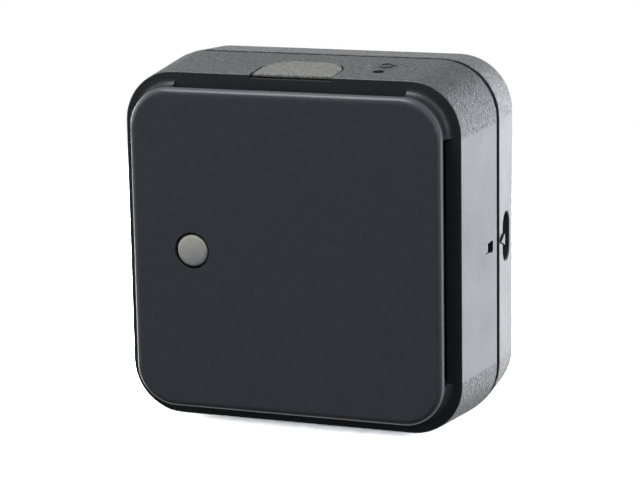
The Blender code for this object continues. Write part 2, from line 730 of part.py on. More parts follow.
def port_chamfer():
    """The broken outer edge of the port opening, even all round on the tapered wall."""
    loops = []
    bm = bmesh.new()
    for grow in (0.0, 2 * PORT_CHAMFER):
        outline = stadium_points(PORT_HEIGHT + 2 * grow, PORT_WIDTH + 2 * grow)
        loops.append(closed_loop(bm, [(cover_half(PORT_Y + across) - PORT_CHAMFER + grow, PORT_Y + across,
                                       PORT_Z + up) for across, up in outline]))
    bmesh.ops.bridge_loops(bm, edges=loops[0] + loops[1])
    bmesh.ops.holes_fill(bm, edges=loops[0] + loops[1], sides=0)
    return bm


def port_arrow():
    """The raised arrowhead in front of the port, pointing forward from its edge."""
    base = PORT_Y - PORT_WIDTH / 2
    tip = base - ARROW_LENGTH
    outline = [(cover_half(y) + ARROW_RAISE, y, PORT_Z + up)
               for y, up in ((tip, 0.0), (base, -ARROW_HEIGHT / 2), (base, ARROW_HEIGHT / 2))]
    bm = bmesh.new()
    return prism(bm, outline, (-ARROW_RAISE - WALL / 2, 0.0, 0.0))


def keyholes():
    """Two keyholes in the back wall: a round way in for the screw's head and a slot above it."""
    bm = bmesh.new()
    front = COVER_FLOOR_Y - BEYOND
    for side in (-1, 1):
        x = side * KEYHOLE_SPACING / 2
        z = MIDDLE_Z + KEYHOLE_RISE
        slot = KEYHOLE_SLOT / 2
        outline = arch_points(slot, z, z + KEYHOLE_LENGTH + slot, slot, steps=CORNER_STEPS // 2)
        prism(bm, [(x + across, front, up) for across, up in outline], (0.0, BACK_WALL + 2 * BEYOND, 0.0))
    return bm


def keyhole_heads():
    """The round ways in of the keyholes."""
    bm = bmesh.new()
    for side in (-1, 1):
        x = side * KEYHOLE_SPACING / 2
        z = MIDDLE_Z + KEYHOLE_RISE
        rod(bm, (x, COVER_FLOOR_Y - BEYOND, z), (x, BACK_Y + BEYOND, z), KEYHOLE_HEAD)
    return bm


def power_board_right():
    """Right edge of the power board, inside the cover's wall."""
    return cover_half(POWER_BACK_Y) - WALL - FIT_GAP


def power_board_middle():
    """Middle of the power board, from its right edge."""
    return power_board_right() - POWER_BOARD_SIZE[0] / 2


def power_screw_places():
    """The two screw places of the power board, at its left corners."""
    x = power_board_middle() - POWER_BOARD_SIZE[0] / 2 + POWER_HOLE_SETBACK
    rise = POWER_BOARD_SIZE[2] / 2 - POWER_HOLE_SETBACK
    return [(x, PORT_Z + side * rise) for side in (-1, 1)]


def power_posts():
    """Posts inside the back wall that carry the power board."""
    bm = bmesh.new()
    for x, z in power_screw_places():
        rod(bm, (x, POWER_BACK_Y + FIT_GAP, z), (x, COVER_FLOOR_Y + OVERLAP, z), POWER_POST, SMALL_SEGMENTS)
    return bm


def power_pilots():
    """Blind pilot holes in the power board's posts, ending inside the back wall."""
    bottom = BACK_Y - BACK_WALL / 2
    bm = bmesh.new()
    for x, z in power_screw_places():
        rod(bm, (x, POWER_BACK_Y - BEYOND, z), (x, bottom, z), PILOT_DIAMETER, SMALL_SEGMENTS)
    return bm


def back_cover(surface, parent):
    """The back cover: tapered walls, lip, latches, port opening and keyholes."""
    cover = cover_body(surface, parent)
    join(cover, "lip", cover_lip())
    cut(cover, "hollow", cover_hollow())
    for side, name in ((1, "right_latch"), (-1, "left_latch")):
        join(cover, name, latch(side))
        join(cover, name + "_nose", latch_nose(side))
    join(cover, "port_arrow", port_arrow())
    cut(cover, "port_opening", port_opening())
    cut(cover, "port_chamfer", port_chamfer())
    cut(cover, "keyholes", keyholes())
    cut(cover, "keyhole_heads", keyhole_heads())
    join(cover, "power_posts", power_posts())
    cut(cover, "power_pilots", power_pilots())
    return cover


def light_pipe(surface, parent):
    """The status lens: a domed head in the plate's hole, a flange behind it and a tail to the lamp."""
    head_y = FACE_Y + LENS_RECESS
    flange_front = PLATE_BACK_Y + FIT_GAP
    flange_back = flange_front + LENS_FLANGE_THICKNESS
    tail_end = BOARD_FRONT_Y - SOLDER_GAP - LAMP_SIZE[1] - FIT_GAP
    radius = LENS_DIAMETER / 2
    profile = [(0.0, head_y)]
    for step in range(1, FILLET_STEPS + 1):
        angle = step / FILLET_STEPS * math.pi / 2
        profile.append((radius - LENS_EDGE + LENS_EDGE * math.sin(angle),
                        head_y + LENS_EDGE * (1 - math.cos(angle))))
    profile += [(radius, flange_front), (LENS_FLANGE / 2, flange_front), (LENS_FLANGE / 2, flange_back),
                (LENS_TAIL / 2, flange_back), (LENS_TAIL / 2, tail_end), (0.0, tail_end)]
    bm = bmesh.new()
    turned(bm, profile)
    return finished("light_pipe", bm, surface, (LENS_X, 0.0, MIDDLE_Z), parent)


def top_button(surface, parent):
    """The arched key: a face along the top wall, a core, a retaining skirt and a stem."""
    origin = Vector((KEY_OFFSET, SWITCH_AXIS_Y, top_wall(SWITCH_AXIS_Y)))
    core_front = RIM_Y + RIM_WALL + FIT_GAP
    skirt_top = WALL + FIT_GAP
    bm = bmesh.new()
    loops = []
    for step in range(FILLET_STEPS + 1):
        angle = step / FILLET_STEPS * math.pi / 2
        pull = KEY_EDGE * (1 - math.sin(angle))
        drop = KEY_EDGE * (1 - math.cos(angle))
        loops.append(key_loop(bm, pull, lambda y: key_top(y) - drop, origin))
    loops.append(key_loop(bm, 0.0, lambda y: top_wall(y) - KEY_LIP, origin))
    for upper, lower in zip(loops, loops[1:]):
        bmesh.ops.bridge_loops(bm, edges=upper + lower)
    bmesh.ops.holes_fill(bm, edges=loops[0] + loops[-1], sides=0)
    key = finished("top_button", bm, surface, origin, parent)
    core = bmesh.new()
    sloped_slab(core, key_outline(0.0, core_front), lambda y: top_wall(y) - KEY_LIP / 2,
                skirt_top + KEY_SKIRT_THICKNESS / 2 - KEY_LIP / 2, origin)
    join(key, "core", core)
    skirt = bmesh.new()
    sloped_slab(skirt, key_outline(KEY_SKIRT, core_front), lambda y: top_wall(y) - skirt_top,
                KEY_SKIRT_THICKNESS, origin)
    join(key, "skirt", skirt)
    stem = bmesh.new()
    top = top_wall(SWITCH_AXIS_Y) - skirt_top - KEY_SKIRT_THICKNESS / 2
    bottom = PLUNGER_TOP_Z + SOLDER_GAP
    half = KEY_STEM / 2
    box(stem, (-half, -half, bottom - origin.z), (half, half, top - origin.z))
    join(key, "stem", stem)
    return key


def side_switch(name, x, body_surface, plunger_surface, parent):
    """A side-push switch on the top edge of the board: its body and its plunger."""
    middle_z = SWITCH_TOP_Z - SWITCH_LENGTH / 2
    size = (SWITCH_WIDTH, SWITCH_HEIGHT, SWITCH_LENGTH)
    half = Vector(size) / 2
    body = block(name + "_body", size, body_surface, (x, SWITCH_AXIS_Y, middle_z), parent, SWITCH_EDGE)
    well = bmesh.new()
    across = PLUNGER_WIDTH / 2 + PLUNGER_CLEARANCE
    deep = PLUNGER_THICKNESS / 2 + PLUNGER_CLEARANCE
    floor = half.z - PLUNGER_BURIED - KEY_TRAVEL - PLUNGER_CLEARANCE
    box(well, (-across, -deep, floor), (across, deep, half.z + BEYOND))
    cut(body, "well", well)
    size = (PLUNGER_WIDTH, PLUNGER_THICKNESS, PLUNGER_REACH + PLUNGER_BURIED)
    middle = PLUNGER_TOP_Z - size[2] / 2
    block(name + "_plunger", size, plunger_surface, (x, SWITCH_AXIS_Y, middle), parent)


def board_outline_solid(size_x, size_z, corner, front, thickness, middle_x, middle_z):
    """A board: a rectangle with round corners, pushed to its thickness."""
    bm = bmesh.new()
    outline = [(middle_x + x, front, middle_z + z)
               for x, z in corner_points(size_x / 2, size_z / 2, corner, steps=4)]
    return prism(bm, outline, (0.0, thickness, 0.0))


def circuit_board(surface, parent):
    """The main board, with its screw holes and the slots that free the sensor's tongue."""
    width = 2 * BOARD_HALF
    bm = board_outline_solid(width, width, BOARD_CORNER, BOARD_FRONT_Y, BOARD_THICKNESS, 0.0, MIDDLE_Z)
    board = finished("circuit_board", bm, surface, parent=parent)
    holes = bmesh.new()
    for x, z in board_hole_places():
        rod(holes, (x, BOARD_FRONT_Y - BEYOND, z), (x, BOARD_BACK_Y + BEYOND, z), BOARD_HOLE, SMALL_SEGMENTS)
    bottom = MIDDLE_Z - BOARD_HALF
    for side in (-1, 1):
        inner = SENSOR_OFFSET + side * TONGUE_WIDTH / 2
        outer = inner + side * TONGUE_SLOT
        box(holes, (min(inner, outer), BOARD_FRONT_Y - BEYOND, bottom - BEYOND),
            (max(inner, outer), BOARD_BACK_Y + BEYOND, bottom + TONGUE_LENGTH))
    cut(board, "holes", holes)
    return board


def screw(name, length, place, surface, parent):
    """A pan-head screw whose head seats at its place and whose shank runs towards -Y."""
    radius = SCREW_HEAD / 2
    shank = SCREW_SHANK / 2
    profile = [(0.0, SCREW_HEAD_HEIGHT), (radius - SCREW_HEAD_ROUND, SCREW_HEAD_HEIGHT),
               (radius, SCREW_HEAD_HEIGHT - SCREW_HEAD_ROUND), (radius, 0.0), (shank, 0.0),
               (shank, -length + shank), (0.0, -length)]
    bm = bmesh.new()
    turned(bm, profile, SMALL_SEGMENTS)
    return finished(name, bm, surface, place, parent)


def sensor_chip(surface, parent):
    """The temperature sensor: a small chip with an open port, on the board's tongue."""
    half = Vector((SENSOR_WIDTH, SENSOR_HEIGHT, SENSOR_WIDTH)) / 2
    middle_y = BOARD_FRONT_Y - SOLDER_GAP - SENSOR_HEIGHT / 2
    bm = bmesh.new()
    box(bm, -half, half)
    place = (SENSOR_OFFSET, middle_y, MIDDLE_Z - BOARD_HALF + SENSOR_SETBACK)
    chip = finished("temperature_sensor", bm, surface, place, parent)
    port = bmesh.new()
    rod(port, (0.0, -half.y - BEYOND, 0.0), (0.0, 0.0, 0.0), SENSOR_PORT, SMALL_SEGMENTS)
    cut(chip, "port", port)
    return chip


def on_board_front(size, x, z):
    """Middle of a part soldered to the front of the main board."""
    return (x, BOARD_FRONT_Y - SOLDER_GAP - size[1] / 2, z)


def on_board_back(size, x, z):
    """Middle of a part soldered to the back of the main board."""
    return (x, BOARD_BACK_Y + SOLDER_GAP + size[1] / 2, z)


def radio(board_surface, shield_surface, aerial_surface, parent):
    """The radio module: its small board, the shield can and the chip antenna."""
    x = BOARD_HALF - RADIO_SETBACK - RADIO_SIZE[0] / 2
    z = MIDDLE_Z - BOARD_HOLE_HALF + POST_DIAMETER / 2 + RADIO_SETBACK + RADIO_SIZE[2] / 2
    block("radio_board", RADIO_SIZE, board_surface, on_board_front(RADIO_SIZE, x, z), parent)
    top_y = BOARD_FRONT_Y - SOLDER_GAP - RADIO_SIZE[1] - SOLDER_GAP
    block("radio_shield", SHIELD_SIZE, shield_surface,
          (x + SHIELD_SHIFT, top_y - SHIELD_SIZE[1] / 2, z), parent, SHIELD_EDGE)
    block("radio_antenna", AERIAL_SIZE, aerial_surface,
          (x + AERIAL_SHIFT, top_y - AERIAL_SIZE[1] / 2, z), parent)


def cell(surface, parent):
    """The lithium cell: a can with rounded ends and a positive nub."""
    radius = CELL_DIAMETER / 2
    can = CELL_LENGTH - CELL_NUB_HEIGHT
    profile = [(0.0, 0.0), (radius - CELL_EDGE, 0.0), (radius, CELL_EDGE), (radius, can - CELL_EDGE),
               (radius - CELL_EDGE, can), (CELL_NUB / 2, can), (CELL_NUB / 2, CELL_LENGTH),
               (0.0, CELL_LENGTH)]
    bm = bmesh.new()
    turned(bm, profile)
    made = finished("battery_cell", bm, surface, (cell_middle() - CELL_LENGTH / 2, CELL_Y, CELL_Z), parent)
    made.rotation_euler = (0.0, 0.0, -math.pi / 2)
    return made


def holder_half_length():
    """Half the inner length of the holder: the cell, a contact and its play at each end."""
    return CELL_LENGTH / 2 + CONTACT_THICKNESS + CONTACT_BUMP + 2 * FIT_GAP


def cell_middle():
    """Middle of the cell, with its holder beside the header."""
    header_left = header_x() - HEADER_WIDTH / 2
    return header_left - HEADER_CLEARANCE - HOLDER_WALL - holder_half_length()


def battery_holder(surface, parent):
    """The holder: a cradle on the board with an end wall for each contact."""
    half_length = holder_half_length() + HOLDER_WALL
    middle = cell_middle()
    front = BOARD_BACK_Y + SOLDER_GAP
    bm = bmesh.new()
    box(bm, (middle - half_length, front, CELL_Z - HOLDER_HALF_HEIGHT),
        (middle + half_length, front + HOLDER_HEIGHT, CELL_Z + HOLDER_HALF_HEIGHT))
    holder = finished("battery_holder", bm, surface, parent=parent)
    room = bmesh.new()
    inner = holder_half_length()
    rod(room, (middle - inner, CELL_Y, CELL_Z), (middle + inner, CELL_Y, CELL_Z),
        CELL_DIAMETER + 2 * FIT_GAP)
    cut(holder, "room", room)
    return holder


def battery_contact(name, side, surface, parent):
    """A plate contact in front of one end wall, with a pressed bump that meets the cell."""
    wall = cell_middle() + side * holder_half_length()
    plate_face = wall - side * (FIT_GAP / 2 + CONTACT_THICKNESS)
    half = CONTACT_WIDTH / 2
    bm = bmesh.new()
    low = min(wall - side * FIT_GAP / 2, plate_face)
    high = max(wall - side * FIT_GAP / 2, plate_face)
    box(bm, (low, CELL_Y - half / 2, CELL_Z - half), (high, CELL_Y + half / 2, CELL_Z + half))
    contact = finished(name, bm, surface, parent=parent)
    bump = bmesh.new()
    rod(bump, (plate_face + side * CONTACT_THICKNESS / 2, CELL_Y, CELL_Z),
        (plate_face - side * CONTACT_BUMP, CELL_Y, CELL_Z), CELL_NUB / 2, SMALL_SEGMENTS)
    join(contact, "bump", bump)
    return contact


def power_board(surface, parent):
    """The small board in the cover that carries the port's socket."""
    size_x, thickness, size_z = POWER_BOARD_SIZE
    bm = board_outline_solid(size_x, size_z, POWER_BOARD_CORNER, POWER_FRONT_Y, thickness,
                             power_board_middle(), PORT_Z)
    board = finished("power_board", bm, surface, parent=parent)
    holes = bmesh.new()
    for x, z in power_screw_places():
        rod(holes, (x, POWER_FRONT_Y - BEYOND, z), (x, POWER_BACK_Y + BEYOND, z), BOARD_HOLE, SMALL_SEGMENTS)
    cut(board, "holes", holes)
    return board


def port_socket(shell_surface, tongue_surface, parent):
    """The micro-USB socket: a folded metal shell and the contact tongue inside it."""
    mouth = cover_half(PORT_Y) - WALL - FIT_GAP
    back = mouth - SOCKET_LENGTH
    half_y = SOCKET_HEIGHT / 2
    half_z = SOCKET_WIDTH / 2
    slant = half_y
    outline = [(-half_y, -half_z), (half_y - slant, -half_z), (half_y, -half_z + slant),
               (half_y, half_z - slant), (half_y - slant, half_z), (-half_y, half_z)]
    bm = bmesh.new()
    prism(bm, [(back, PORT_Y - across, PORT_Z + up) for across, up in outline], (SOCKET_LENGTH, 0.0, 0.0))
    shell = finished("port_socket_shell", bm, shell_surface, parent=parent)
    shrink_y = (half_y - SOCKET_SKIN) / half_y
    shrink_z = (half_z - SOCKET_SKIN) / half_z
    room = bmesh.new()
    prism(room, [(back + SOCKET_SKIN, PORT_Y - across * shrink_y, PORT_Z + up * shrink_z)
                 for across, up in outline], (SOCKET_LENGTH + BEYOND, 0.0, 0.0))
    cut(shell, "room", room)
    size = (TONGUE_PLATE_LENGTH, TONGUE_PLATE_THICKNESS, TONGUE_PLATE_WIDTH)
    middle_x = back + SOCKET_SKIN + SOLDER_GAP + TONGUE_PLATE_LENGTH / 2
    block("port_socket_tongue", size, tongue_surface, (middle_x, PORT_Y, PORT_Z), parent)


def header_x():
    """Place of the row of pins, beside the left edge of the power board."""
    return power_board_middle() - POWER_BOARD_SIZE[0] / 2 + HEADER_SETBACK


def header_heights():
    """Height of each pin of the header, counted from the middle of the row."""
    middle = (HEADER_PINS - 1) / 2
    return [(pin - middle) * HEADER_PITCH for pin in range(HEADER_PINS)]


def board_header(surface, socket_surface, parent):
    """The pin header on the main board and the socket on the power board that it plugs into."""
    x = header_x()
    half_z = HEADER_PINS * HEADER_PITCH / 2
    half_x = HEADER_WIDTH / 2
    front = BOARD_BACK_Y + SOLDER_GAP
    bm = bmesh.new()
    box(bm, (x - half_x, front, PORT_Z - half_z),
        (x + half_x, front + HEADER_HEIGHT, PORT_Z + half_z))
    header = finished("board_header", bm, surface, parent=parent)
    socket_back = POWER_FRONT_Y - SOLDER_GAP
    socket_front = socket_back - BOARD_SOCKET_HEIGHT
    pins = bmesh.new()
    half_pin = PIN_WIDTH / 2
    for up in header_heights():
        box(pins, (x - half_pin, front + HEADER_HEIGHT / 2, PORT_Z + up - half_pin),
            (x + half_pin, socket_front + PIN_BURIED, PORT_Z + up + half_pin))
    join(header, "pins", pins)
    body = bmesh.new()
    box(body, (x - half_x, socket_front, PORT_Z - half_z),
        (x + half_x, socket_back, PORT_Z + half_z))
    socket = finished("board_socket", body, socket_surface, parent=parent)
    wells = bmesh.new()
    half_well = half_pin + PIN_CLEARANCE
    for up in header_heights():
        box(wells, (x - half_well, socket_front - BEYOND, PORT_Z + up - half_well),
            (x + half_well, socket_front + PIN_BURIED + PIN_CLEARANCE, PORT_Z + up + half_well))
    cut(socket, "wells", wells)


def chip_rows(surface, front_parent, cover_parent):
    """Rows of chip capacitors and resistors on both faces of the main board and on the power board."""
    start_x = LENS_X + LENS_FLANGE / 2 + CHIP_CLEARANCE
    for chip in range(FRONT_CHIPS):
        place = on_board_front(CHIP_SIZE, start_x + chip * CHIP_PITCH, MIDDLE_Z + FRONT_CHIP_RISE)
        block("front_chip_%d" % (chip + 1), CHIP_SIZE, surface, place, front_parent)
    start_x = CONTROLLER_X - CHIP_PITCH
    rise = CONTROLLER_SIZE[2] / 2 + CHIP_CLEARANCE
    for chip in range(BACK_CHIPS):
        place = on_board_back(CHIP_SIZE, start_x + chip * CHIP_PITCH, CONTROLLER_Z + rise)
        block("back_chip_%d" % (chip + 1), CHIP_SIZE, surface, place, front_parent)
    for chip in range(POWER_CHIPS):
        side = 2 * chip - 1
        rise = side * (SOCKET_WIDTH / 2 + 2 * CHIP_SIZE[2])
        place = (power_board_middle() + POWER_BOARD_SIZE[0] / 4,
                 POWER_FRONT_Y - SOLDER_GAP - CHIP_SIZE[1] / 2, PORT_Z + rise)
        block("power_chip_%d" % (chip + 1), CHIP_SIZE, surface, place, cover_parent)


def screws(surface, front_parent, cover_parent):
    """Four screws of the main board and two of the power board."""
    for number, (x, z) in enumerate(board_hole_places(), start=1):
        place = (x, BOARD_BACK_Y + SOLDER_GAP, z)
        screw("board_screw_%d" % number, SCREW_LENGTH, place, surface, front_parent)
    for number, (x, z) in enumerate(power_screw_places(), start=1):
        place = (x, POWER_FRONT_Y - SOLDER_GAP, z)
        made = screw("power_screw_%d" % number, POWER_SCREW_LENGTH, place, surface, cover_parent)
        made.rotation_euler = (0.0, 0.0, math.pi)


def clear_scene():
    """Remove what is in the scene."""
    for old in list(bpy.data.objects):
        bpy.data.objects.remove(old, do_unlink=True)


def group(name):
    """An empty that carries one sub-assembly."""
    empty = bpy.data.objects.new(name, None)
    bpy.context.scene.collection.objects.link(empty)
    return empty


def build():
    """Build the whole sensor."""
    clear_scene()
    shell_plastic = material("shell_plastic", (0.045, 0.050, 0.056), 0.42)
    cover_plastic = material("cover_plastic", (0.050, 0.054, 0.060), 0.5)
    key_plastic = material("key_plastic", (0.20, 0.20, 0.19), 0.55)
    lens_plastic = material("lens_plastic", (0.30, 0.29, 0.27), 0.3)
    board_green = material("board_laminate", (0.02, 0.12, 0.05), 0.45)
    chip_black = material("chip_black", (0.02, 0.02, 0.02), 0.5)
    chip_tan = material("chip_ceramic", (0.35, 0.27, 0.18), 0.5)
    bright_metal = material("tinned_metal", (0.72, 0.72, 0.70), 0.3, metallic=1.0)
    screw_steel = material("screw_steel", (0.55, 0.55, 0.56), 0.35, metallic=1.0)
    cell_wrap = material("cell_wrap", (0.12, 0.14, 0.20), 0.4)
    lamp_white = material("lamp_white", (0.85, 0.84, 0.78), 0.4)

    front = group("front_assembly")
    rear = group("cover_assembly")

    front_shell(shell_plastic, front)
    light_pipe(lens_plastic, front)
    top_button(key_plastic, front)
    circuit_board(board_green, front)
    side_switch("button_switch", KEY_OFFSET, chip_black, lamp_white, front)
    side_switch("reset_switch", RESET_X, chip_black, lamp_white, front)
    block("status_lamp", LAMP_SIZE, lamp_white, on_board_front(LAMP_SIZE, LENS_X, MIDDLE_Z), front)
    sensor_chip(chip_black, front)
    radio(board_green, bright_metal, chip_tan, front)
    controller_place = on_board_back(CONTROLLER_SIZE, CONTROLLER_X, CONTROLLER_Z)
    block("microcontroller", CONTROLLER_SIZE, chip_black, controller_place, front)
    crystal_place = on_board_back(CRYSTAL_SIZE, CONTROLLER_X + CRYSTAL_SHIFT, CONTROLLER_Z)
    block("clock_crystal", CRYSTAL_SIZE, bright_metal, crystal_place, front)
    battery_holder(chip_black, front)
    cell(cell_wrap, front)
    battery_contact("battery_contact_plus", 1, bright_metal, front)
    battery_contact("battery_contact_minus", -1, bright_metal, front)

    back_cover(cover_plastic, rear)
    power_board(board_green, rear)
    port_socket(bright_metal, chip_black, rear)
    board_header(chip_black, chip_black, rear)
    chip_rows(chip_tan, front, rear)
    screws(screw_steel, front, rear)


build()
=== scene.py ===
"""Looks of a wireless rack temperature sensor: finishes, small marks, studio and camera.

The moulded housing, its key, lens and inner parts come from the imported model. This script gives
each of them its finish, adds the raised mark beside the reset hole and the lens's rounded crown, and
lights the sensor in a plain white studio, seen from the front right and a little above.

Everything is in metres. The front faces -Y and +Z is up.
"""

from __future__ import annotations

import json
import logging
import math
from dataclasses import dataclass
from enum import Enum

import bmesh
import bpy
from mathutils import Matrix, Vector

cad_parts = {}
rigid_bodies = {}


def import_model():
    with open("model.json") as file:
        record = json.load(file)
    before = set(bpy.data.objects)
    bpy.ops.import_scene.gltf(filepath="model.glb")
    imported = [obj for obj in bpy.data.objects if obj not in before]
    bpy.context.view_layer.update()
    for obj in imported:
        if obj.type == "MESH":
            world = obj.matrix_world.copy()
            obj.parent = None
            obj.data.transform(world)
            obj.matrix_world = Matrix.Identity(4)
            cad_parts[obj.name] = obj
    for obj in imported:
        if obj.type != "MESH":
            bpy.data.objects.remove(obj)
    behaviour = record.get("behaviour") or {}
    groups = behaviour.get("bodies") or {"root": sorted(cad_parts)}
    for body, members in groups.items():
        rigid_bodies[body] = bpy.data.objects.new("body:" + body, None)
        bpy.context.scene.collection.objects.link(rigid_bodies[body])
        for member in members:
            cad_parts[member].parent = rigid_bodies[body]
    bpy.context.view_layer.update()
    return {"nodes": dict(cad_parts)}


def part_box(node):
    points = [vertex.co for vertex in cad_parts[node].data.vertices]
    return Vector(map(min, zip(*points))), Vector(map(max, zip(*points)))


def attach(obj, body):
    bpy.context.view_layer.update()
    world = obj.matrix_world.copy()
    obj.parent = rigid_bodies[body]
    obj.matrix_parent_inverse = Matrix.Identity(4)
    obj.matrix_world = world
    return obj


MM = 0.001

log = logging.getLogger("rack_sensor")


class Body(Enum):
    """The rigid bodies that a new piece can ride on."""

    HOUSING = "housing"


class Slot(Enum):
    """The record's material slots that a new piece can take."""

    FRONT_SHELL = "front_shell"
    LENS = "lens_plastic"


def rgb(red: float, green: float, blue: float) -> tuple[float, float, float, float]:
    """An opaque linear colour."""
    return (red, green, blue, 1.0)


class Graph:
    """A node tree that is filled from left to right."""

    def __init__(self, tree: bpy.types.NodeTree) -> None:
        """Wrap a node tree.

        Args:
            tree: The tree of a material, a world or a node group.
        """
        self.tree = tree
        self.column = 0

    def add(self, kind: str, **settings: object) -> bpy.types.Node:
        """Add a node and set its properties.

        Args:
            kind: The node's type name.
            **settings: Properties by name, such as operation="MULTIPLY".

        Returns:
            The new node.
        """
        node = self.tree.nodes.new(kind)
        node.location = (self.column * 190.0, 0.0)
        self.column += 1
        for name, value in settings.items():
            setattr(node, name, value)
        return node

    def feed(self, node: bpy.types.Node, **inputs: object) -> bpy.types.Node:
        """Set or link a node's inputs.

        Args:
            node: The node to feed.
            **inputs: Sockets by name, with underscores for spaces. A socket is linked, and any other
                value is set.

        Returns:
            The same node.
        """
        for name, value in inputs.items():
            socket = node.inputs[name.replace("_", " ")]
            self.plug(socket, value)
        return node

    def plug(self, socket: bpy.types.NodeSocket, value: object) -> None:
        """Link a socket to an input, or set the input's value."""
        if isinstance(value, bpy.types.NodeSocket):
            self.tree.links.new(value, socket)
        else:
            socket.default_value = value

    def math(self, operation: str, first: object, second: object = 0.0) -> bpy.types.NodeSocket:
        """Add a Math node.

        Args:
            operation: The Math node's operation.
            first: Its first operand, a socket or a number.
            second: Its second operand.

        Returns:
            The result's socket.
        """
        node = self.add("ShaderNodeMath", operation=operation)
        self.plug(node.inputs[0], first)
        self.plug(node.inputs[1], second)
        return node.outputs[0]

    def noise(self, place: bpy.types.NodeSocket, scale: object, detail: float,
              roughness: float) -> bpy.types.NodeSocket:
        """Add a noise texture.

        Args:
            place: The coordinates that it reads.
            scale: Its scale, for coordinates in metres.
            detail: Its number of octaves.
            roughness: How strong the finer octaves are.

        Returns:
            The noise value's socket.
        """
        node = self.add("ShaderNodeTexNoise")
        self.feed(node, Vector=place, Scale=scale, Detail=detail, Roughness=roughness)
        return node.outputs["Fac"]

    def span(self, value: object, low: object, high: object, to_low: object, to_high: object,
             smooth: bool = False) -> bpy.types.NodeSocket:
        """Map a range of values to another, clamped at its ends.

        Args:
            value: The value, a socket.
            low: The value that gives to_low.
            high: The value that gives to_high.
            to_low: Result at low.
            to_high: Result at high.
            smooth: Whether the step between them is eased.

        Returns:
            The result's socket.
        """
        node = self.add("ShaderNodeMapRange", interpolation_type="SMOOTHSTEP" if smooth else "LINEAR")
        for index, item in enumerate((value, low, high, to_low, to_high)):
            self.plug(node.inputs[index], item)
        return node.outputs[0]

    def mix(self, factor: object, first: object, second: object) -> bpy.types.NodeSocket:
        """Mix two colours.

        Args:
            factor: 0 gives the first and 1 the second.
            first: A colour or a colour socket.
            second: A colour or a colour socket.

        Returns:
            The mixed colour's socket.
        """
        node = self.add("ShaderNodeMix", data_type="RGBA")
        self.plug(node.inputs[0], factor)
        self.plug(node.inputs[6], first)
        self.plug(node.inputs[7], second)
        return node.outputs[2]


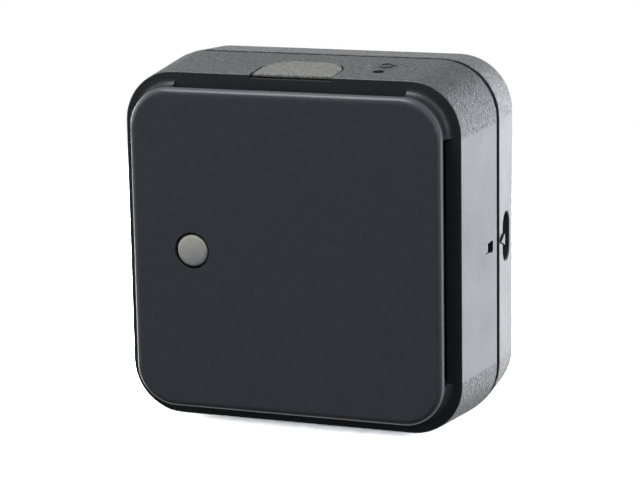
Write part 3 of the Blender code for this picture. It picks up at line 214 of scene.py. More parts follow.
class Effects:
    """The surface effects that several finishes share, each a node group that is built once."""

    @staticmethod
    def _start(name: str, inputs: dict[str, float],
               outputs: dict[str, str]) -> tuple[Graph, bpy.types.Node, bpy.types.Node]:
        """Open a new group.

        Args:
            name: The group's name.
            inputs: Number inputs by name, with their default values.
            outputs: Socket types by output name.

        Returns:
            The group's graph, its input node and its output node.
        """
        tree = bpy.data.node_groups.new(name, "ShaderNodeTree")
        for label, value in inputs.items():
            socket = tree.interface.new_socket(label, in_out="INPUT", socket_type="NodeSocketFloat")
            socket.default_value = value
        for label, kind in outputs.items():
            tree.interface.new_socket(label, in_out="OUTPUT", socket_type=kind)
        graph = Graph(tree)
        return graph, graph.add("NodeGroupInput"), graph.add("NodeGroupOutput")

    @classmethod
    def spark_grain(cls) -> bpy.types.NodeTree:
        """The pebbled texture of a spark-eroded mould: a height and a fine mottling of the colour.

        Returns:
            The node group.
        """
        name = "spark_grain"
        if name in bpy.data.node_groups:
            return bpy.data.node_groups[name]
        graph, given, result = cls._start(name, {"Scale": 2600.0, "Fineness": 1.3, "Blotches": 0.5},
                                          {"Height": "NodeSocketFloat", "Mottle": "NodeSocketFloat"})
        place = graph.add("ShaderNodeTexCoord").outputs["Object"]
        pebbles = graph.add("ShaderNodeTexVoronoi", feature="SMOOTH_F1")
        graph.feed(pebbles, Vector=place, Scale=given.outputs["Scale"], Smoothness=0.6)
        fine_scale = graph.math("MULTIPLY", given.outputs["Scale"], given.outputs["Fineness"])
        fine = graph.noise(place, fine_scale, 2.0, 0.6)
        broad_scale = graph.math("MULTIPLY", given.outputs["Scale"], 0.55)
        broad = graph.noise(place, broad_scale, 2.0, 0.6)
        height = graph.math("ADD", graph.math("MULTIPLY", pebbles.outputs["Distance"], 0.7),
                            graph.math("MULTIPLY", fine, 0.45))
        height = graph.math("ADD", height, graph.math("MULTIPLY", broad, 0.8))
        mottle = graph.span(given.outputs["Blotches"], 0.0, 1.0, fine, broad)
        graph.feed(result, Height=height, Mottle=mottle)
        return graph.tree

    @classmethod
    def cloud(cls) -> bpy.types.NodeTree:
        """Slow, faint unevenness of gloss over a moulding, from flow and handling.

        Returns:
            The node group.
        """
        name = "gloss_cloud"
        if name in bpy.data.node_groups:
            return bpy.data.node_groups[name]
        graph, given, result = cls._start(name, {"Scale": 90.0, "Low": 0.4, "High": 0.5},
                                          {"Value": "NodeSocketFloat"})
        place = graph.add("ShaderNodeTexCoord").outputs["Object"]
        drift = graph.noise(place, given.outputs["Scale"], 4.0, 0.55)
        value = graph.span(drift, 0.3, 0.7, given.outputs["Low"], given.outputs["High"])
        graph.feed(result, Value=value)
        return graph.tree

    @classmethod
    def coarse_zone(cls) -> bpy.types.NodeTree:
        """Where a moulding's texture is coarse: beyond the creases that bound its flat side walls.

        Returns:
            The node group.
        """
        name = "coarse_zone"
        if name in bpy.data.node_groups:
            return bpy.data.node_groups[name]
        inputs = {"Middle": 0.0, "Front": 0.0, "Back": 1.0, "Front Reach": 0.0, "Back Reach": 0.0,
                  "End": 1.0}
        graph, given, result = cls._start(name, inputs, {"Mask": "NodeSocketFloat"})
        axes = graph.add("ShaderNodeSeparateXYZ")
        graph.feed(axes, Vector=graph.add("ShaderNodeTexCoord").outputs["Object"])
        put = given.outputs
        depth = axes.outputs["Y"]
        offset = graph.math("SUBTRACT", axes.outputs["Z"], put["Middle"])
        limit = graph.span(depth, put["Front"], put["Back"], put["Front Reach"], put["Back Reach"])
        beyond = graph.math("SUBTRACT", graph.math("ABSOLUTE", offset), limit)
        zone = graph.span(beyond, 0.0, 0.06 * MM, 0.0, 1.0)
        walls = graph.span(depth, put["Front"], graph.math("ADD", put["Front"], 0.3 * MM), 0.0, 1.0)
        ended = graph.span(depth, put["End"], graph.math("ADD", put["End"], 0.6 * MM), 1.0, 0.0)
        graph.feed(result, Mask=graph.math("MULTIPLY", graph.math("MULTIPLY", zone, walls), ended))
        return graph.tree

    @classmethod
    def dome(cls) -> bpy.types.NodeTree:
        """The shape of a lens's face: flat in the middle and rounded off towards its edge.

        Returns:
            The node group, with the face's height and the mask of a spot under it.
        """
        name = "lens_dome"
        if name in bpy.data.node_groups:
            return bpy.data.node_groups[name]
        inputs = {"X": 0.0, "Z": 0.0, "Radius": 1.0, "Drop": 0.0, "Spot X": 0.0, "Spot Z": 0.0}
        graph, given, result = cls._start(name, inputs, {"Height": "NodeSocketFloat",
                                                         "Spot": "NodeSocketFloat"})
        axes = graph.add("ShaderNodeSeparateXYZ")
        graph.feed(axes, Vector=graph.add("ShaderNodeTexCoord").outputs["Object"])
        put = given.outputs
        across = graph.math("SUBTRACT", axes.outputs["X"], put["X"])
        up = graph.math("SUBTRACT", axes.outputs["Z"], put["Z"])

        def reach(first: bpy.types.NodeSocket, second: bpy.types.NodeSocket) -> bpy.types.NodeSocket:
            """Length of two offsets, in radii of the lens."""
            square = graph.math("ADD", graph.math("MULTIPLY", first, first),
                                graph.math("MULTIPLY", second, second))
            return graph.math("DIVIDE", graph.math("SQRT", square), put["Radius"])

        fall = graph.math("POWER", reach(across, up), 4.0)
        height = graph.math("MULTIPLY", graph.math("MULTIPLY", fall, put["Drop"]), -1.0)
        away = reach(graph.math("SUBTRACT", across, put["Spot X"]),
                     graph.math("SUBTRACT", up, put["Spot Z"]))
        spot = graph.span(away, 0.05, 0.75, 1.0, 0.0, smooth=True)
        graph.feed(result, Height=height, Spot=spot)
        return graph.tree


def place_group(graph: Graph, tree: bpy.types.NodeTree, **inputs: object) -> bpy.types.Node:
    """Place a node group in a material.

    Args:
        graph: The material's graph.
        tree: The group.
        **inputs: Its inputs by name.

    Returns:
        The group's node.
    """
    node = graph.add("ShaderNodeGroup")
    node.node_tree = tree
    return graph.feed(node, **inputs)


@dataclass(frozen=True)
class Finish:
    """A finish that is even all over: one colour with a faint mottling and a fine grain.

    Attributes:
        name: The material's name.
        colour: Its base colour.
        roughness: The middle of its roughness.
        metallic: 1 on bare metal.
        grain: Scale of its grain, for metres.
        depth: Height of its grain.
        mottle: How much the mottling lightens and darkens the colour.
        blotches: Share of the broad patches in the mottling, against the fine specks.
        ior: Refractive index.
    """

    name: str
    colour: tuple[float, float, float, float]
    roughness: float
    metallic: float = 0.0
    grain: float = 2600.0
    depth: float = 0.02 * MM
    mottle: float = 0.15
    blotches: float = 0.5
    ior: float = 1.5

    def start(self) -> tuple[bpy.types.Material, Graph, bpy.types.Node]:
        """Make the material with its plain values set.

        Returns:
            The material, its graph and its Principled shader.
        """
        material = bpy.data.materials.new(self.name)
        material.use_nodes = True
        shader = material.node_tree.nodes["Principled BSDF"]
        shader.inputs["Base Color"].default_value = self.colour
        shader.inputs["Roughness"].default_value = self.roughness
        shader.inputs["Metallic"].default_value = self.metallic
        shader.inputs["IOR"].default_value = self.ior
        return material, Graph(material.node_tree), shader

    def grained(self, graph: Graph, shader: bpy.types.Node, depth: object) -> bpy.types.Node:
        """Add the grain to the shader's normal.

        Args:
            graph: The material's graph.
            shader: Its Principled shader.
            depth: Height of the grain, a number or a socket.

        Returns:
            The grain's group node.
        """
        grain = place_group(graph, Effects.spark_grain(), Scale=self.grain, Blotches=self.blotches)
        bump = graph.add("ShaderNodeBump")
        graph.feed(bump, Strength=1.0, Distance=depth, Height=grain.outputs["Height"])
        graph.feed(shader, Normal=bump.outputs["Normal"])
        return grain

    def tone(self, graph: Graph, mottle: bpy.types.NodeSocket, colour: object,
             strength: object = None) -> bpy.types.NodeSocket:
        """Lighten and darken a colour with the mottling.

        Args:
            graph: The material's graph.
            mottle: The mottling, from 0 to 1.
            colour: The colour or its socket.
            strength: How much it does so, a socket, or nothing for the finish's own value.

        Returns:
            The toned colour's socket.
        """
        much = self.mottle if strength is None else strength
        swing = graph.math("MULTIPLY", graph.span(mottle, 0.35, 0.65, -1.0, 1.0), much)
        gain = graph.math("ADD", swing, 1.0)
        scaled = graph.add("ShaderNodeVectorMath", operation="SCALE")
        graph.plug(scaled.inputs[0], colour if isinstance(colour, bpy.types.NodeSocket) else colour[:3])
        graph.plug(scaled.inputs["Scale"], gain)
        return scaled.outputs[0]

    def build(self) -> bpy.types.Material:
        """Make the material.

        Returns:
            The finished material.
        """
        material, graph, shader = self.start()
        grain = self.grained(graph, shader, self.depth)
        graph.feed(shader, Base_Color=self.tone(graph, grain.outputs["Mottle"], self.colour))
        gloss = place_group(graph, Effects.cloud(), Low=self.roughness * 0.9, High=self.roughness * 1.1)
        graph.feed(shader, Roughness=gloss.outputs["Value"])
        return material


@dataclass(frozen=True)
class WallFinish(Finish):
    """A moulding with fine flat side walls, and a coarser texture on its corners, top and bottom.

    Attributes:
        coarse_depth: Height of the coarse grain.
        coarse_roughness: Middle of the roughness where the grain is coarse.
        coarse_mottle: Mottling of the colour and the roughness there.
        middle: Height of the moulding's middle.
        front: Depth of the walls' front end.
        back: Depth of their back end.
        front_reach: How far the flat walls reach from the middle at the front.
        back_reach: The same at the back.
        end: Depth beyond which the coarse texture fades out again.
    """

    coarse_depth: float = 0.12 * MM
    coarse_roughness: float = 0.46
    coarse_mottle: float = 0.8
    middle: float = 33.0 * MM
    front: float = 0.0
    back: float = 0.01
    front_reach: float = 21.7 * MM
    back_reach: float = 22.0 * MM
    end: float = 1.0

    def coarse(self, graph: Graph) -> bpy.types.NodeSocket:
        """The mask of the coarse texture.

        Args:
            graph: The material's graph.

        Returns:
            The mask's socket, 1 where the grain is coarse.
        """
        zone = place_group(graph, Effects.coarse_zone(), Middle=self.middle, Front=self.front,
                           Back=self.back, Front_Reach=self.front_reach, Back_Reach=self.back_reach,
                           End=self.end)
        return zone.outputs["Mask"]

    def gloss(self, graph: Graph, mask: bpy.types.NodeSocket,
              mottle: bpy.types.NodeSocket) -> bpy.types.NodeSocket:
        """The walls' roughness.

        Args:
            graph: The material's graph.
            mask: The mask of the coarse texture.
            mottle: The mottling, from 0 to 1.

        Returns:
            The roughness's socket.
        """
        fine = place_group(graph, Effects.cloud(), Low=self.roughness * 0.93, High=self.roughness * 1.07)
        swing = 0.16 * self.coarse_mottle
        coarse = graph.span(mottle, 0.35, 0.65, self.coarse_roughness + swing, self.coarse_roughness - swing)
        return graph.span(mask, 0.0, 1.0, fine.outputs["Value"], coarse)

    def fleck(self, graph: Graph, mask: bpy.types.NodeSocket) -> bpy.types.NodeSocket:
        """How much the mottling shows in the colour."""
        return graph.span(mask, 0.0, 1.0, self.mottle, self.coarse_mottle)

    def build(self) -> bpy.types.Material:
        """Make the material.

        Returns:
            The finished material.
        """
        material, graph, shader = self.start()
        mask = self.coarse(graph)
        grain = self.grained(graph, shader, graph.span(mask, 0.0, 1.0, self.depth, self.coarse_depth))
        mottle = grain.outputs["Mottle"]
        graph.feed(shader, Base_Color=self.tone(graph, mottle, self.colour, self.fleck(graph, mask)))
        graph.feed(shader, Roughness=self.gloss(graph, mask, mottle))
        return material


@dataclass(frozen=True)
class LensFinish(Finish):
    """A milky lens with a rounded edge, and a darker, bluish patch painted a little below its middle.

    Attributes:
        x: Place of its middle across the plate.
        z: Height of its middle.
        radius: Its radius.
        drop: How far its face falls off towards the edge.
        spot_colour: Colour of the darker, bluish patch.
        spot: Place of that patch, from the middle.
    """

    x: float = 0.0
    z: float = 0.0
    radius: float = 2.95 * MM
    drop: float = 0.20 * MM
    spot_colour: tuple[float, float, float, float] = rgb(0.37, 0.39, 0.43)
    spot: tuple[float, float] = (0.3 * MM, -1.3 * MM)

    def build(self) -> bpy.types.Material:
        """Make the material.

        Returns:
            The finished material.
        """
        material, graph, shader = self.start()
        grain = place_group(graph, Effects.spark_grain(), Scale=self.grain)
        dome = place_group(graph, Effects.dome(), X=self.x, Z=self.z, Radius=self.radius, Drop=self.drop,
                           Spot_X=self.spot[0], Spot_Z=self.spot[1])
        relief = graph.math("ADD", graph.math("MULTIPLY", grain.outputs["Height"], self.depth),
                            dome.outputs["Height"])
        bump = graph.add("ShaderNodeBump")
        graph.feed(bump, Strength=1.0, Distance=1.0, Height=relief)
        graph.feed(shader, Normal=bump.outputs["Normal"])
        # A darker, bluish patch is mixed into the colour a little below the lens's middle.
        tinted = graph.mix(dome.outputs["Spot"], self.colour, self.spot_colour)
        graph.feed(shader, Base_Color=self.tone(graph, grain.outputs["Mottle"], tinted))
        gloss = place_group(graph, Effects.cloud(), Low=self.roughness * 0.9, High=self.roughness * 1.1)
        graph.feed(shader, Roughness=gloss.outputs["Value"])
        return material


@dataclass(frozen=True)
class ShellFinish(WallFinish):
    """The front shell: a satin plate, and walls and rim with a spark texture.

    Attributes:
        plate_back: Depth at which the plate ends and the textured walls begin.
        plate_colour: Colour of the plate.
        plate_roughness: Roughness of the plate.
        plate_depth: Height of the plate's much finer grain.
    """

    plate_back: float = 0.0
    plate_colour: tuple[float, float, float, float] = rgb(0.05, 0.05, 0.05)
    plate_roughness: float = 0.4
    plate_depth: float = 0.004 * MM

    def build(self) -> bpy.types.Material:
        """Make the material.

        Returns:
            The finished material.
        """
        material, graph, shader = self.start()
        place = graph.add("ShaderNodeTexCoord").outputs["Object"]
        axes = graph.add("ShaderNodeSeparateXYZ")
        graph.feed(axes, Vector=place)
        edge = 0.2 * MM
        wall = graph.span(axes.outputs["Y"], self.plate_back, self.plate_back + edge, 0.0, 1.0, smooth=True)
        mask = self.coarse(graph)
        walls = graph.span(mask, 0.0, 1.0, self.depth, self.coarse_depth)
        grain = self.grained(graph, shader, graph.span(wall, 0.0, 1.0, self.plate_depth, walls))
        colour = graph.mix(wall, self.plate_colour, self.colour)
        mottle = grain.outputs["Mottle"]
        graph.feed(shader, Base_Color=self.tone(graph, mottle, colour, self.fleck(graph, mask)))
        plate = place_group(graph, Effects.cloud(), Scale=60.0, Low=self.plate_roughness * 0.96,
                            High=self.plate_roughness * 1.04)
        satin = graph.span(wall, 0.0, 1.0, plate.outputs["Value"], self.gloss(graph, mask, mottle))
        graph.feed(shader, Roughness=satin)
        return material


@dataclass
class Housing:
    """The moulded housing: front shell, back cover, key, lens and the raised mark on top.

    Attributes:
        nodes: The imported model's nodes by name.
        draft: How much the top wall rises from the rim to the shell's back edge.
        shell_depth: Rim to the shell's back edge.
        mark_x: Place of the mark across the top wall.
        mark_setback: How far it lies behind the rim.
        mark_radius: Middle radius of the mark's ring.
        mark_line: Width of the mark's line.
        mark_raise: How far the mark stands out of the wall.
        mark_gap: Opening of the ring, as an angle.
        crown_radius: Radius of the lens's crown.
        crown_height: How far the crown's middle stands out of the lens's face.
        crown_fall: How far the crown's face falls from its middle to its rounded edge.
        crown_edge: Radius of the crown's rounded edge.
        crown_seat: How far the crown reaches into the lens.
    """

    nodes: dict[str, bpy.types.Object]
    draft: float = 1.4 * MM
    shell_depth: float = 16.65 * MM
    mark_x: float = 14.7 * MM
    mark_setback: float = 10.3 * MM
    mark_radius: float = 1.25 * MM
    mark_line: float = 0.42 * MM
    mark_raise: float = 0.18 * MM
    mark_gap: float = math.radians(62.0)
    crown_radius: float = 2.92 * MM
    crown_height: float = 0.42 * MM
    crown_fall: float = 0.08 * MM
    crown_edge: float = 0.42 * MM
    crown_seat: float = 0.3 * MM

    def dress(self) -> None:
        """Give the mouldings their finishes."""
        low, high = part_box("front_shell")
        shell = ShellFinish("shell_plastic", rgb(0.021, 0.024, 0.0275), 0.44, grain=2600.0,
                            depth=0.032 * MM, mottle=0.12, plate_back=low.y + 1.5 * MM,
                            plate_colour=rgb(0.048, 0.056, 0.067), plate_roughness=0.40,
                            front=low.y + 4.3 * MM, back=high.y, coarse_roughness=0.50)
        paint(self.nodes["front_shell"], shell.build())
        _low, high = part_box("back_cover")
        cover = WallFinish("cover_plastic", rgb(0.034, 0.037, 0.042), 0.44, grain=2600.0,
                           depth=0.032 * MM, mottle=0.10, front=-10.0 * MM, end=high.y - 2.4 * MM)
        paint(self.nodes["back_cover"], cover.build())
        key = Finish("key_plastic", rgb(0.130, 0.130, 0.120), 0.55, grain=2500.0, depth=0.05 * MM,
                     mottle=0.72, blotches=0.2)
        paint(self.nodes["top_button"], key.build())
        low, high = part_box("light_pipe")
        lens = LensFinish("lens_plastic", rgb(0.44, 0.43, 0.40), 0.28, grain=900.0, depth=0.006 * MM,
                          mottle=0.06, x=(low.x + high.x) / 2, z=(low.z + high.z) / 2,
                          radius=2.95 * MM)
        paint(self.nodes["light_pipe"], lens.build())
        for name in ("front_shell", "back_cover", "top_button", "light_pipe"):
            soften(self.nodes[name])

    def lens_crown(self) -> bpy.types.Object:
        """Model the lens's rounded crown, which stands out of its recess nearly to the plate.

        Returns:
            The crown.
        """
        low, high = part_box("light_pipe")
        middle = Vector(((low.x + high.x) / 2, low.y, (low.z + high.z) / 2))
        mesh = bmesh.new()
        steps = 6
        face = self.crown_radius - self.crown_edge
        profile = [(face * step / steps, -self.crown_height + self.crown_fall * (step / steps) ** 2)
                   for step in range(steps + 1)]
        shoulder = -self.crown_height + self.crown_fall + self.crown_edge
        profile += [(face + self.crown_edge * math.sin(turn), shoulder - self.crown_edge * math.cos(turn))
                    for turn in (math.pi / 2 * step / steps for step in range(1, steps + 1))]
        profile += [(self.crown_radius, self.crown_seat), (0.0, self.crown_seat)]
        verts = [mesh.verts.new(middle + Vector((radius, back, 0.0))) for radius, back in profile]
        edges = [mesh.edges.new(pair) for pair in zip(verts, verts[1:])]
        bmesh.ops.spin(mesh, geom=[*verts, *edges], axis=(0.0, 1.0, 0.0), cent=middle, angle=math.tau,
                       steps=64, use_merge=True)
        bmesh.ops.remove_doubles(mesh, verts=mesh.verts, dist=0.0005 * MM)
        bmesh.ops.recalc_face_normals(mesh, faces=mesh.faces)
        crown = piece("light_pipe_crown", mesh)
        paint(crown, self.nodes["light_pipe"].data.materials[0])
        soften(crown)
        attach(crown, Body.HOUSING.value)
        return crown

    def top_height(self, y: float) -> float:
        """Height of the drafted top wall at a depth."""
        _low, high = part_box("front_shell")
        return high.z - self.draft * (high.y - y) / self.shell_depth

    def reset_mark(self) -> bpy.types.Object:
        """Model the raised ring with an arrowhead beside the reset hole.

        Returns:
            The mark.
        """
        mesh = bmesh.new()
        inner = self.mark_radius - self.mark_line / 2
        outer = self.mark_radius + self.mark_line / 2
        sunk = -self.mark_raise
        corners = [(inner, sunk), (outer, sunk), (outer, self.mark_raise), (inner, self.mark_raise)]
        start = Matrix.Rotation(self.mark_gap / 2, 4, "Z")
        verts = [mesh.verts.new(start @ Vector((radius, 0.0, up))) for radius, up in corners]
        face = mesh.faces.new(verts)
        bmesh.ops.spin(mesh, geom=[face, *face.edges, *verts], axis=(0.0, 0.0, 1.0),
                       cent=(0.0, 0.0, 0.0), angle=math.tau - self.mark_gap, steps=40)
        head = self.mark_line * 1.35
        points = [(self.mark_radius - head, 0.0), (self.mark_radius + head, 0.0),
                  (self.mark_radius, -head * 1.5)]
        base = [mesh.verts.new(start @ Vector((x, y, sunk))) for x, y in points]
        flat = mesh.faces.new(base)
        pushed = bmesh.ops.extrude_face_region(mesh, geom=[flat])
        moved = [item for item in pushed["geom"] if isinstance(item, bmesh.types.BMVert)]
        bmesh.ops.translate(mesh, verts=moved, vec=(0.0, 0.0, 2 * self.mark_raise))
        bmesh.ops.remove_doubles(mesh, verts=mesh.verts, dist=0.001 * MM)
        bmesh.ops.recalc_face_normals(mesh, faces=mesh.faces)
        _low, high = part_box("front_shell")
        y = high.y - self.shell_depth + self.mark_setback
        slope = math.atan2(self.draft, self.shell_depth)
        place = Matrix.Translation((self.mark_x, y, self.top_height(y))) @ Matrix.Rotation(slope, 4, "X")
        bmesh.ops.transform(mesh, matrix=place, verts=mesh.verts)
        mark = piece("reset_mark", mesh)
        paint(mark, self.nodes["front_shell"].data.materials[0])
        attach(mark, Body.HOUSING.value)
        return mark


def piece(name: str, mesh: bmesh.types.BMesh) -> bpy.types.Object:
    """Turn a bmesh into an object at the origin.

    Args:
        name: The piece's name.
        mesh: Its mesh, with its place in its points.

    Returns:
        The new object.
    """
    data = bpy.data.meshes.new(name)
    mesh.to_mesh(data)
    mesh.free()
    made = bpy.data.objects.new(name, data)
    bpy.context.scene.collection.objects.link(made)
    return made


def paint(target: bpy.types.Object, material: bpy.types.Material) -> None:
    """Give an object one material."""
    target.data.materials.clear()
    target.data.materials.append(material)


def smoothing(crisp: float = math.radians(32.0),
              crease: tuple[float, float] = (math.radians(4.4), math.radians(6.0))) -> bpy.types.NodeTree:
    """Nodes that join a solid's facets and shade them smooth, but for its edges and its creases.

    Args:
        crisp: Edges sharper than this stay crisp.
        crease: Angles between these are the creases where the housing's corners leave its flat walls.

    Returns:
        The geometry node group.
    """
    name = "smooth_shading"
    if name in bpy.data.node_groups:
        return bpy.data.node_groups[name]
    tree = bpy.data.node_groups.new(name, "GeometryNodeTree")
    tree.interface.new_socket("Geometry", in_out="INPUT", socket_type="NodeSocketGeometry")
    tree.interface.new_socket("Geometry", in_out="OUTPUT", socket_type="NodeSocketGeometry")
    graph = Graph(tree)
    joined = graph.add("GeometryNodeMergeByDistance")
    graph.feed(joined, Geometry=graph.add("NodeGroupInput").outputs[0], Distance=0.002 * MM)
    angle = graph.add("GeometryNodeInputMeshEdgeAngle").outputs["Unsigned Angle"]

    def compare(operation: str, limit: float) -> bpy.types.NodeSocket:
        """Compare the angle of every edge with a limit."""
        node = graph.add("FunctionNodeCompare", data_type="FLOAT", operation=operation)
        graph.plug(node.inputs[0], angle)
        graph.plug(node.inputs[1], limit)
        return node.outputs[0]

    def both(operation: str, first: object, second: object) -> bpy.types.NodeSocket:
        """Join two tests."""
        node = graph.add("FunctionNodeBooleanMath", operation=operation)
        graph.plug(node.inputs[0], first)
        graph.plug(node.inputs[1], second)
        return node.outputs[0]

    creased = both("AND", compare("GREATER_THAN", crease[0]), compare("LESS_THAN", crease[1]))
    kept = both("OR", compare("GREATER_THAN", crisp), creased)
    smooth = graph.add("GeometryNodeSetShadeSmooth", domain="FACE")
    graph.plug(smooth.inputs[0], joined.outputs[0])
    sharp = graph.add("GeometryNodeSetShadeSmooth", domain="EDGE")
    graph.plug(sharp.inputs[0], smooth.outputs[0])
    graph.plug(sharp.inputs["Selection"], kept)
    graph.plug(sharp.inputs["Shade Smooth"], False)
    graph.plug(graph.add("NodeGroupOutput").inputs[0], sharp.outputs[0])
    return tree


def soften(target: bpy.types.Object) -> None:
    """Shade a node's round stretches smooth and keep its edges crisp, with its points as they are."""
    target.modifiers.new("smooth_shading", "NODES").node_group = smoothing()
    even = target.modifiers.new("even_normals", "WEIGHTED_NORMAL")
    even.keep_sharp = True


@dataclass
class Electronics:
    """The circuit parts inside the housing, seen through the slots and the port, if at all.

    Attributes:
        nodes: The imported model's nodes by name.
    """

    nodes: dict[str, bpy.types.Object]

    def dress(self) -> None:
        """Give every inner part its finish."""
        finishes = {
            Finish("solder_mask", rgb(0.012, 0.075, 0.032), 0.35, grain=600.0, depth=0.01 * MM):
                ("circuit_board", "power_board", "radio_board"),
            Finish("moulding_compound", rgb(0.018, 0.018, 0.019), 0.5, grain=3000.0):
                ("temperature_sensor", "microcontroller", "button_switch_body", "reset_switch_body",
                 "port_socket_tongue", "battery_holder", "board_header", "board_socket"),
            Finish("natural_nylon", rgb(0.70, 0.68, 0.62), 0.45, grain=1500.0, mottle=0.05):
                ("button_switch_plunger", "reset_switch_plunger"),
            Finish("milky_resin", rgb(0.80, 0.79, 0.72), 0.3, grain=1500.0, mottle=0.05):
                ("status_lamp",),
            Finish("tan_ceramic", rgb(0.32, 0.24, 0.16), 0.45, grain=4000.0):
                ("radio_antenna",),
            Finish("tinned_metal", rgb(0.68, 0.68, 0.66), 0.28, metallic=1.0, grain=1200.0, mottle=0.06):
                ("radio_shield", "clock_crystal", "port_socket_shell", "battery_contact_plus",
                 "battery_contact_minus"),
            Finish("zinc_plate", rgb(0.52, 0.52, 0.54), 0.34, metallic=1.0, grain=1800.0, mottle=0.08):
                tuple(name for name in self.nodes if "_screw_" in name),
            Finish("cell_sleeve", rgb(0.10, 0.12, 0.17), 0.35, grain=700.0, mottle=0.05):
                ("battery_cell",),
        }
        for finish, names in finishes.items():
            material = finish.build()
            for name in names:
                paint(self.nodes[name], material)
                soften(self.nodes[name])
        ceramic = bpy.data.materials["tan_ceramic"]
        for name in self.nodes:
            if "_chip_" in name:
                paint(self.nodes[name], ceramic)
                soften(self.nodes[name])


@dataclass(frozen=True)
class Lamp:
    """One soft round lamp that faces the middle of the sensor.

    Attributes:
        name: Its name.
        azimuth: Its place, in degrees to the right of the front.
        elevation: Its height, in degrees above the middle of the sensor.
        glow: How bright its face is.
        tint: Its colour.
        width: Its diameter.
        distance: Its distance from the middle of the sensor.
    """

    name: str
    azimuth: float
    elevation: float
    glow: float
    tint: tuple[float, float, float] = (1.0, 1.0, 1.0)
    width: float = 0.55
    distance: float = 1.0

    def hang(self, middle: Vector) -> bpy.types.Object:
        """Hang the lamp.

        Args:
            middle: The point that it faces.

        Returns:
            The lamp.
        """
        turn, rise = math.radians(self.azimuth), math.radians(self.elevation)
        way = Vector((math.sin(turn) * math.cos(rise), -math.cos(turn) * math.cos(rise), math.sin(rise)))
        data = bpy.data.lights.new(self.name, "AREA")
        data.shape = "DISK"
        data.size = self.width
        data.color = self.tint
        data.energy = self.glow * math.pi * math.pi * (self.width / 2) ** 2
        made = bpy.data.objects.new(self.name, data)
        bpy.context.scene.collection.objects.link(made)
        facing = way.to_track_quat("Z", "Y").to_matrix().to_4x4()
        made.matrix_world = Matrix.Translation(middle + way * self.distance) @ facing
        made.visible_camera = False
        return made


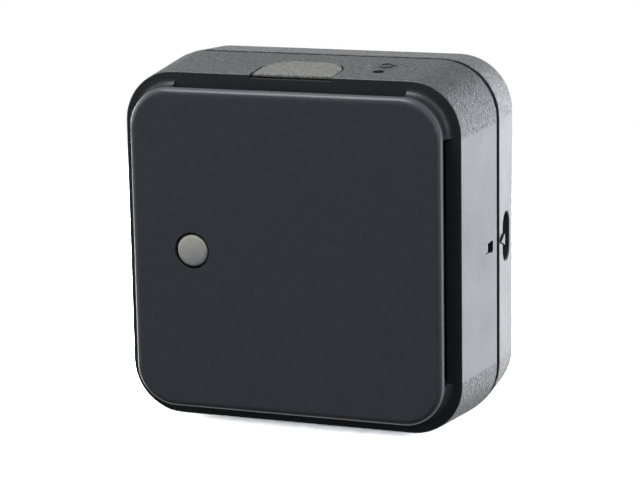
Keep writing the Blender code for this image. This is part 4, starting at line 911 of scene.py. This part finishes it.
@dataclass
class Studio:
    """The floor, the world, the lamps and the camera.

    Attributes:
        lamps: The lamps, strongest first.
        middle: The point that the lamps face.
        ambient: Strength of the even light from everywhere.
        floor_radius: Radius of the floor.
        floor_gain: How far the floor is overexposed, so that only its deepest shadow shows.
        glow_start: Distance from the sensor's middle at which the floor begins to fade to plain white.
        glow_end: Distance from which it is plain white.
        backdrop_start: Y of the direction at which the white backdrop begins to show in gloss.
        backdrop_full: Y of the direction from which it shows fully.
        camera_place: Where the lens stands.
        azimuth: Camera's turn to the right of the front.
        elevation: How far it looks down.
        roll: Turn about its own axis.
        lens: Focal length for a sensor 36 mm wide, in millimetres.
    """

    lamps: tuple[Lamp, ...] = (
        Lamp("top_left", 315.0, 68.0, 12.34, (0.98, 1.01, 1.00)),
        Lamp("left_far_low", 225.0, -12.0, 7.00, (0.98, 1.00, 1.04)),
        Lamp("left_edge", 290.0, 10.0, 4.68, (1.00, 1.00, 1.00)),
        Lamp("back_right", 150.0, 10.0, 3.55, (0.98, 0.99, 1.14)),
        Lamp("right_low_back", 120.0, -14.0, 2.93, (0.89, 1.02, 1.09)),
        Lamp("left_back", 250.0, 10.0, 2.88, (0.98, 1.00, 1.04)),
        Lamp("back_low", 150.0, -14.0, 2.68, (0.97, 1.00, 1.07)),
        Lamp("right_front", 60.0, 10.0, 2.51, (0.98, 1.00, 1.03)),
        Lamp("right_key", 45.0, 40.0, 2.26, (1.00, 1.00, 1.00)),
        Lamp("far_low", 165.0, -12.0, 1.53, (1.03, 0.99, 1.03)),
        Lamp("far_back", 165.0, 8.0, 1.36, (1.00, 1.00, 1.00)),
        Lamp("right_side", 90.0, 10.0, 1.22, (0.84, 1.04, 1.09)),
    )
    middle: tuple[float, float, float] = (0.0, 0.0, 0.033)
    ambient: float = 0.050
    floor_radius: float = 4.0
    floor_gain: float = 10.0
    glow_start: float = 0.14
    glow_end: float = 0.30
    backdrop_start: float = -0.15
    backdrop_full: float = 0.35
    camera_place: tuple[float, float, float] = (0.160876, -0.423059, 0.131515)
    azimuth: float = math.radians(20.772)
    elevation: float = math.radians(12.352)
    roll: float = math.radians(-0.956)
    lens: float = 142.6

    def world(self) -> None:
        """Light the world faintly, and make it white to the camera and through glass.

        Mirror-like rays see that white too where the backdrop is, behind the sensor.
        """
        world = bpy.data.worlds.new("white_studio")
        world.use_nodes = True
        bpy.context.scene.world = world
        graph = Graph(world.node_tree)
        for node in list(world.node_tree.nodes):
            world.node_tree.nodes.remove(node)
        rays = graph.add("ShaderNodeLightPath")
        axes = graph.add("ShaderNodeSeparateXYZ")
        graph.feed(axes, Vector=graph.add("ShaderNodeTexCoord").outputs["Generated"])
        backdrop = graph.span(axes.outputs["Y"], self.backdrop_start, self.backdrop_full, 0.0, 1.0,
                              smooth=True)
        mirrored = graph.math("MULTIPLY", rays.outputs["Is Glossy Ray"], backdrop)
        through = graph.math("MAXIMUM", mirrored, rays.outputs["Is Transmission Ray"])
        seen = graph.math("MAXIMUM", rays.outputs["Is Camera Ray"], through)
        white = graph.add("ShaderNodeBackground")
        graph.feed(white, Color=rgb(1.0, 1.0, 1.0), Strength=graph.span(seen, 0.0, 1.0, self.ambient, 1.0))
        output = graph.add("ShaderNodeOutputWorld")
        graph.feed(output, Surface=white.outputs[0])

    def floor(self) -> None:
        """Lay a white, overexposed floor that keeps the sensor's deepest shadow."""
        mesh = bmesh.new()
        bmesh.ops.create_circle(mesh, cap_ends=True, segments=96, radius=self.floor_radius)
        floor = piece("floor", mesh)
        material = bpy.data.materials.new("white_floor")
        material.use_nodes = True
        graph = Graph(material.node_tree)
        for node in list(material.node_tree.nodes):
            material.node_tree.nodes.remove(node)
        place = graph.add("ShaderNodeTexCoord").outputs["Object"]
        reach = graph.add("ShaderNodeVectorMath", operation="LENGTH")
        graph.plug(reach.inputs[0], place)
        far = graph.span(reach.outputs["Value"], self.glow_start, self.glow_end, 0.0, 1.0, smooth=True)
        lit = graph.add("ShaderNodeBsdfDiffuse")
        gain = self.floor_gain
        graph.feed(lit, Color=rgb(gain, gain, gain))
        glow = graph.add("ShaderNodeEmission")
        graph.feed(glow, Color=rgb(1.0, 1.0, 1.0), Strength=1.0)
        mixed = graph.add("ShaderNodeMixShader")
        graph.plug(mixed.inputs[0], far)
        graph.plug(mixed.inputs[1], lit.outputs[0])
        graph.plug(mixed.inputs[2], glow.outputs[0])
        output = graph.add("ShaderNodeOutputMaterial")
        graph.feed(output, Surface=mixed.outputs[0])
        paint(floor, material)
        floor.visible_diffuse = False
        floor.visible_glossy = False
        floor.visible_shadow = False

    def camera(self) -> None:
        """Set the camera up where the photograph was taken from."""
        turn, look = self.azimuth, self.elevation
        forward = Vector((-math.sin(turn) * math.cos(look), math.cos(turn) * math.cos(look),
                          -math.sin(look)))
        right = forward.cross(Vector((0.0, 0.0, 1.0))).normalized()
        up = right.cross(forward)
        leaned_right = right * math.cos(self.roll) + up * math.sin(self.roll)
        leaned_up = up * math.cos(self.roll) - right * math.sin(self.roll)
        data = bpy.data.cameras.new("camera")
        data.lens = self.lens
        data.sensor_width = 36.0
        data.clip_start = 0.01
        made = bpy.data.objects.new("camera", data)
        bpy.context.scene.collection.objects.link(made)
        axes = Matrix((leaned_right, leaned_up, -forward)).transposed().to_4x4()
        made.matrix_world = Matrix.Translation(self.camera_place) @ axes
        bpy.context.scene.camera = made

    def build(self) -> None:
        """Build the whole studio."""
        bpy.context.scene.view_settings.view_transform = "Standard"
        self.world()
        self.floor()
        for lamp in self.lamps:
            lamp.hang(Vector(self.middle))
        self.camera()


def main() -> None:
    """Load the frame, dress the sensor and build the studio."""
    logging.basicConfig(level=logging.INFO, format="%(name)s: %(message)s")
    for old in list(bpy.data.objects):
        bpy.data.objects.remove(old)
    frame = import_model()
    housing = Housing(frame["nodes"])
    housing.dress()
    log.info("housing dressed")
    for made in (housing.reset_mark(), housing.lens_crown()):
        log.info("added %s", made.name)
    Electronics(frame["nodes"]).dress()
    log.info("electronics dressed")
    Studio().build()
    log.info("studio built")


if __name__ == "__main__":
    main()
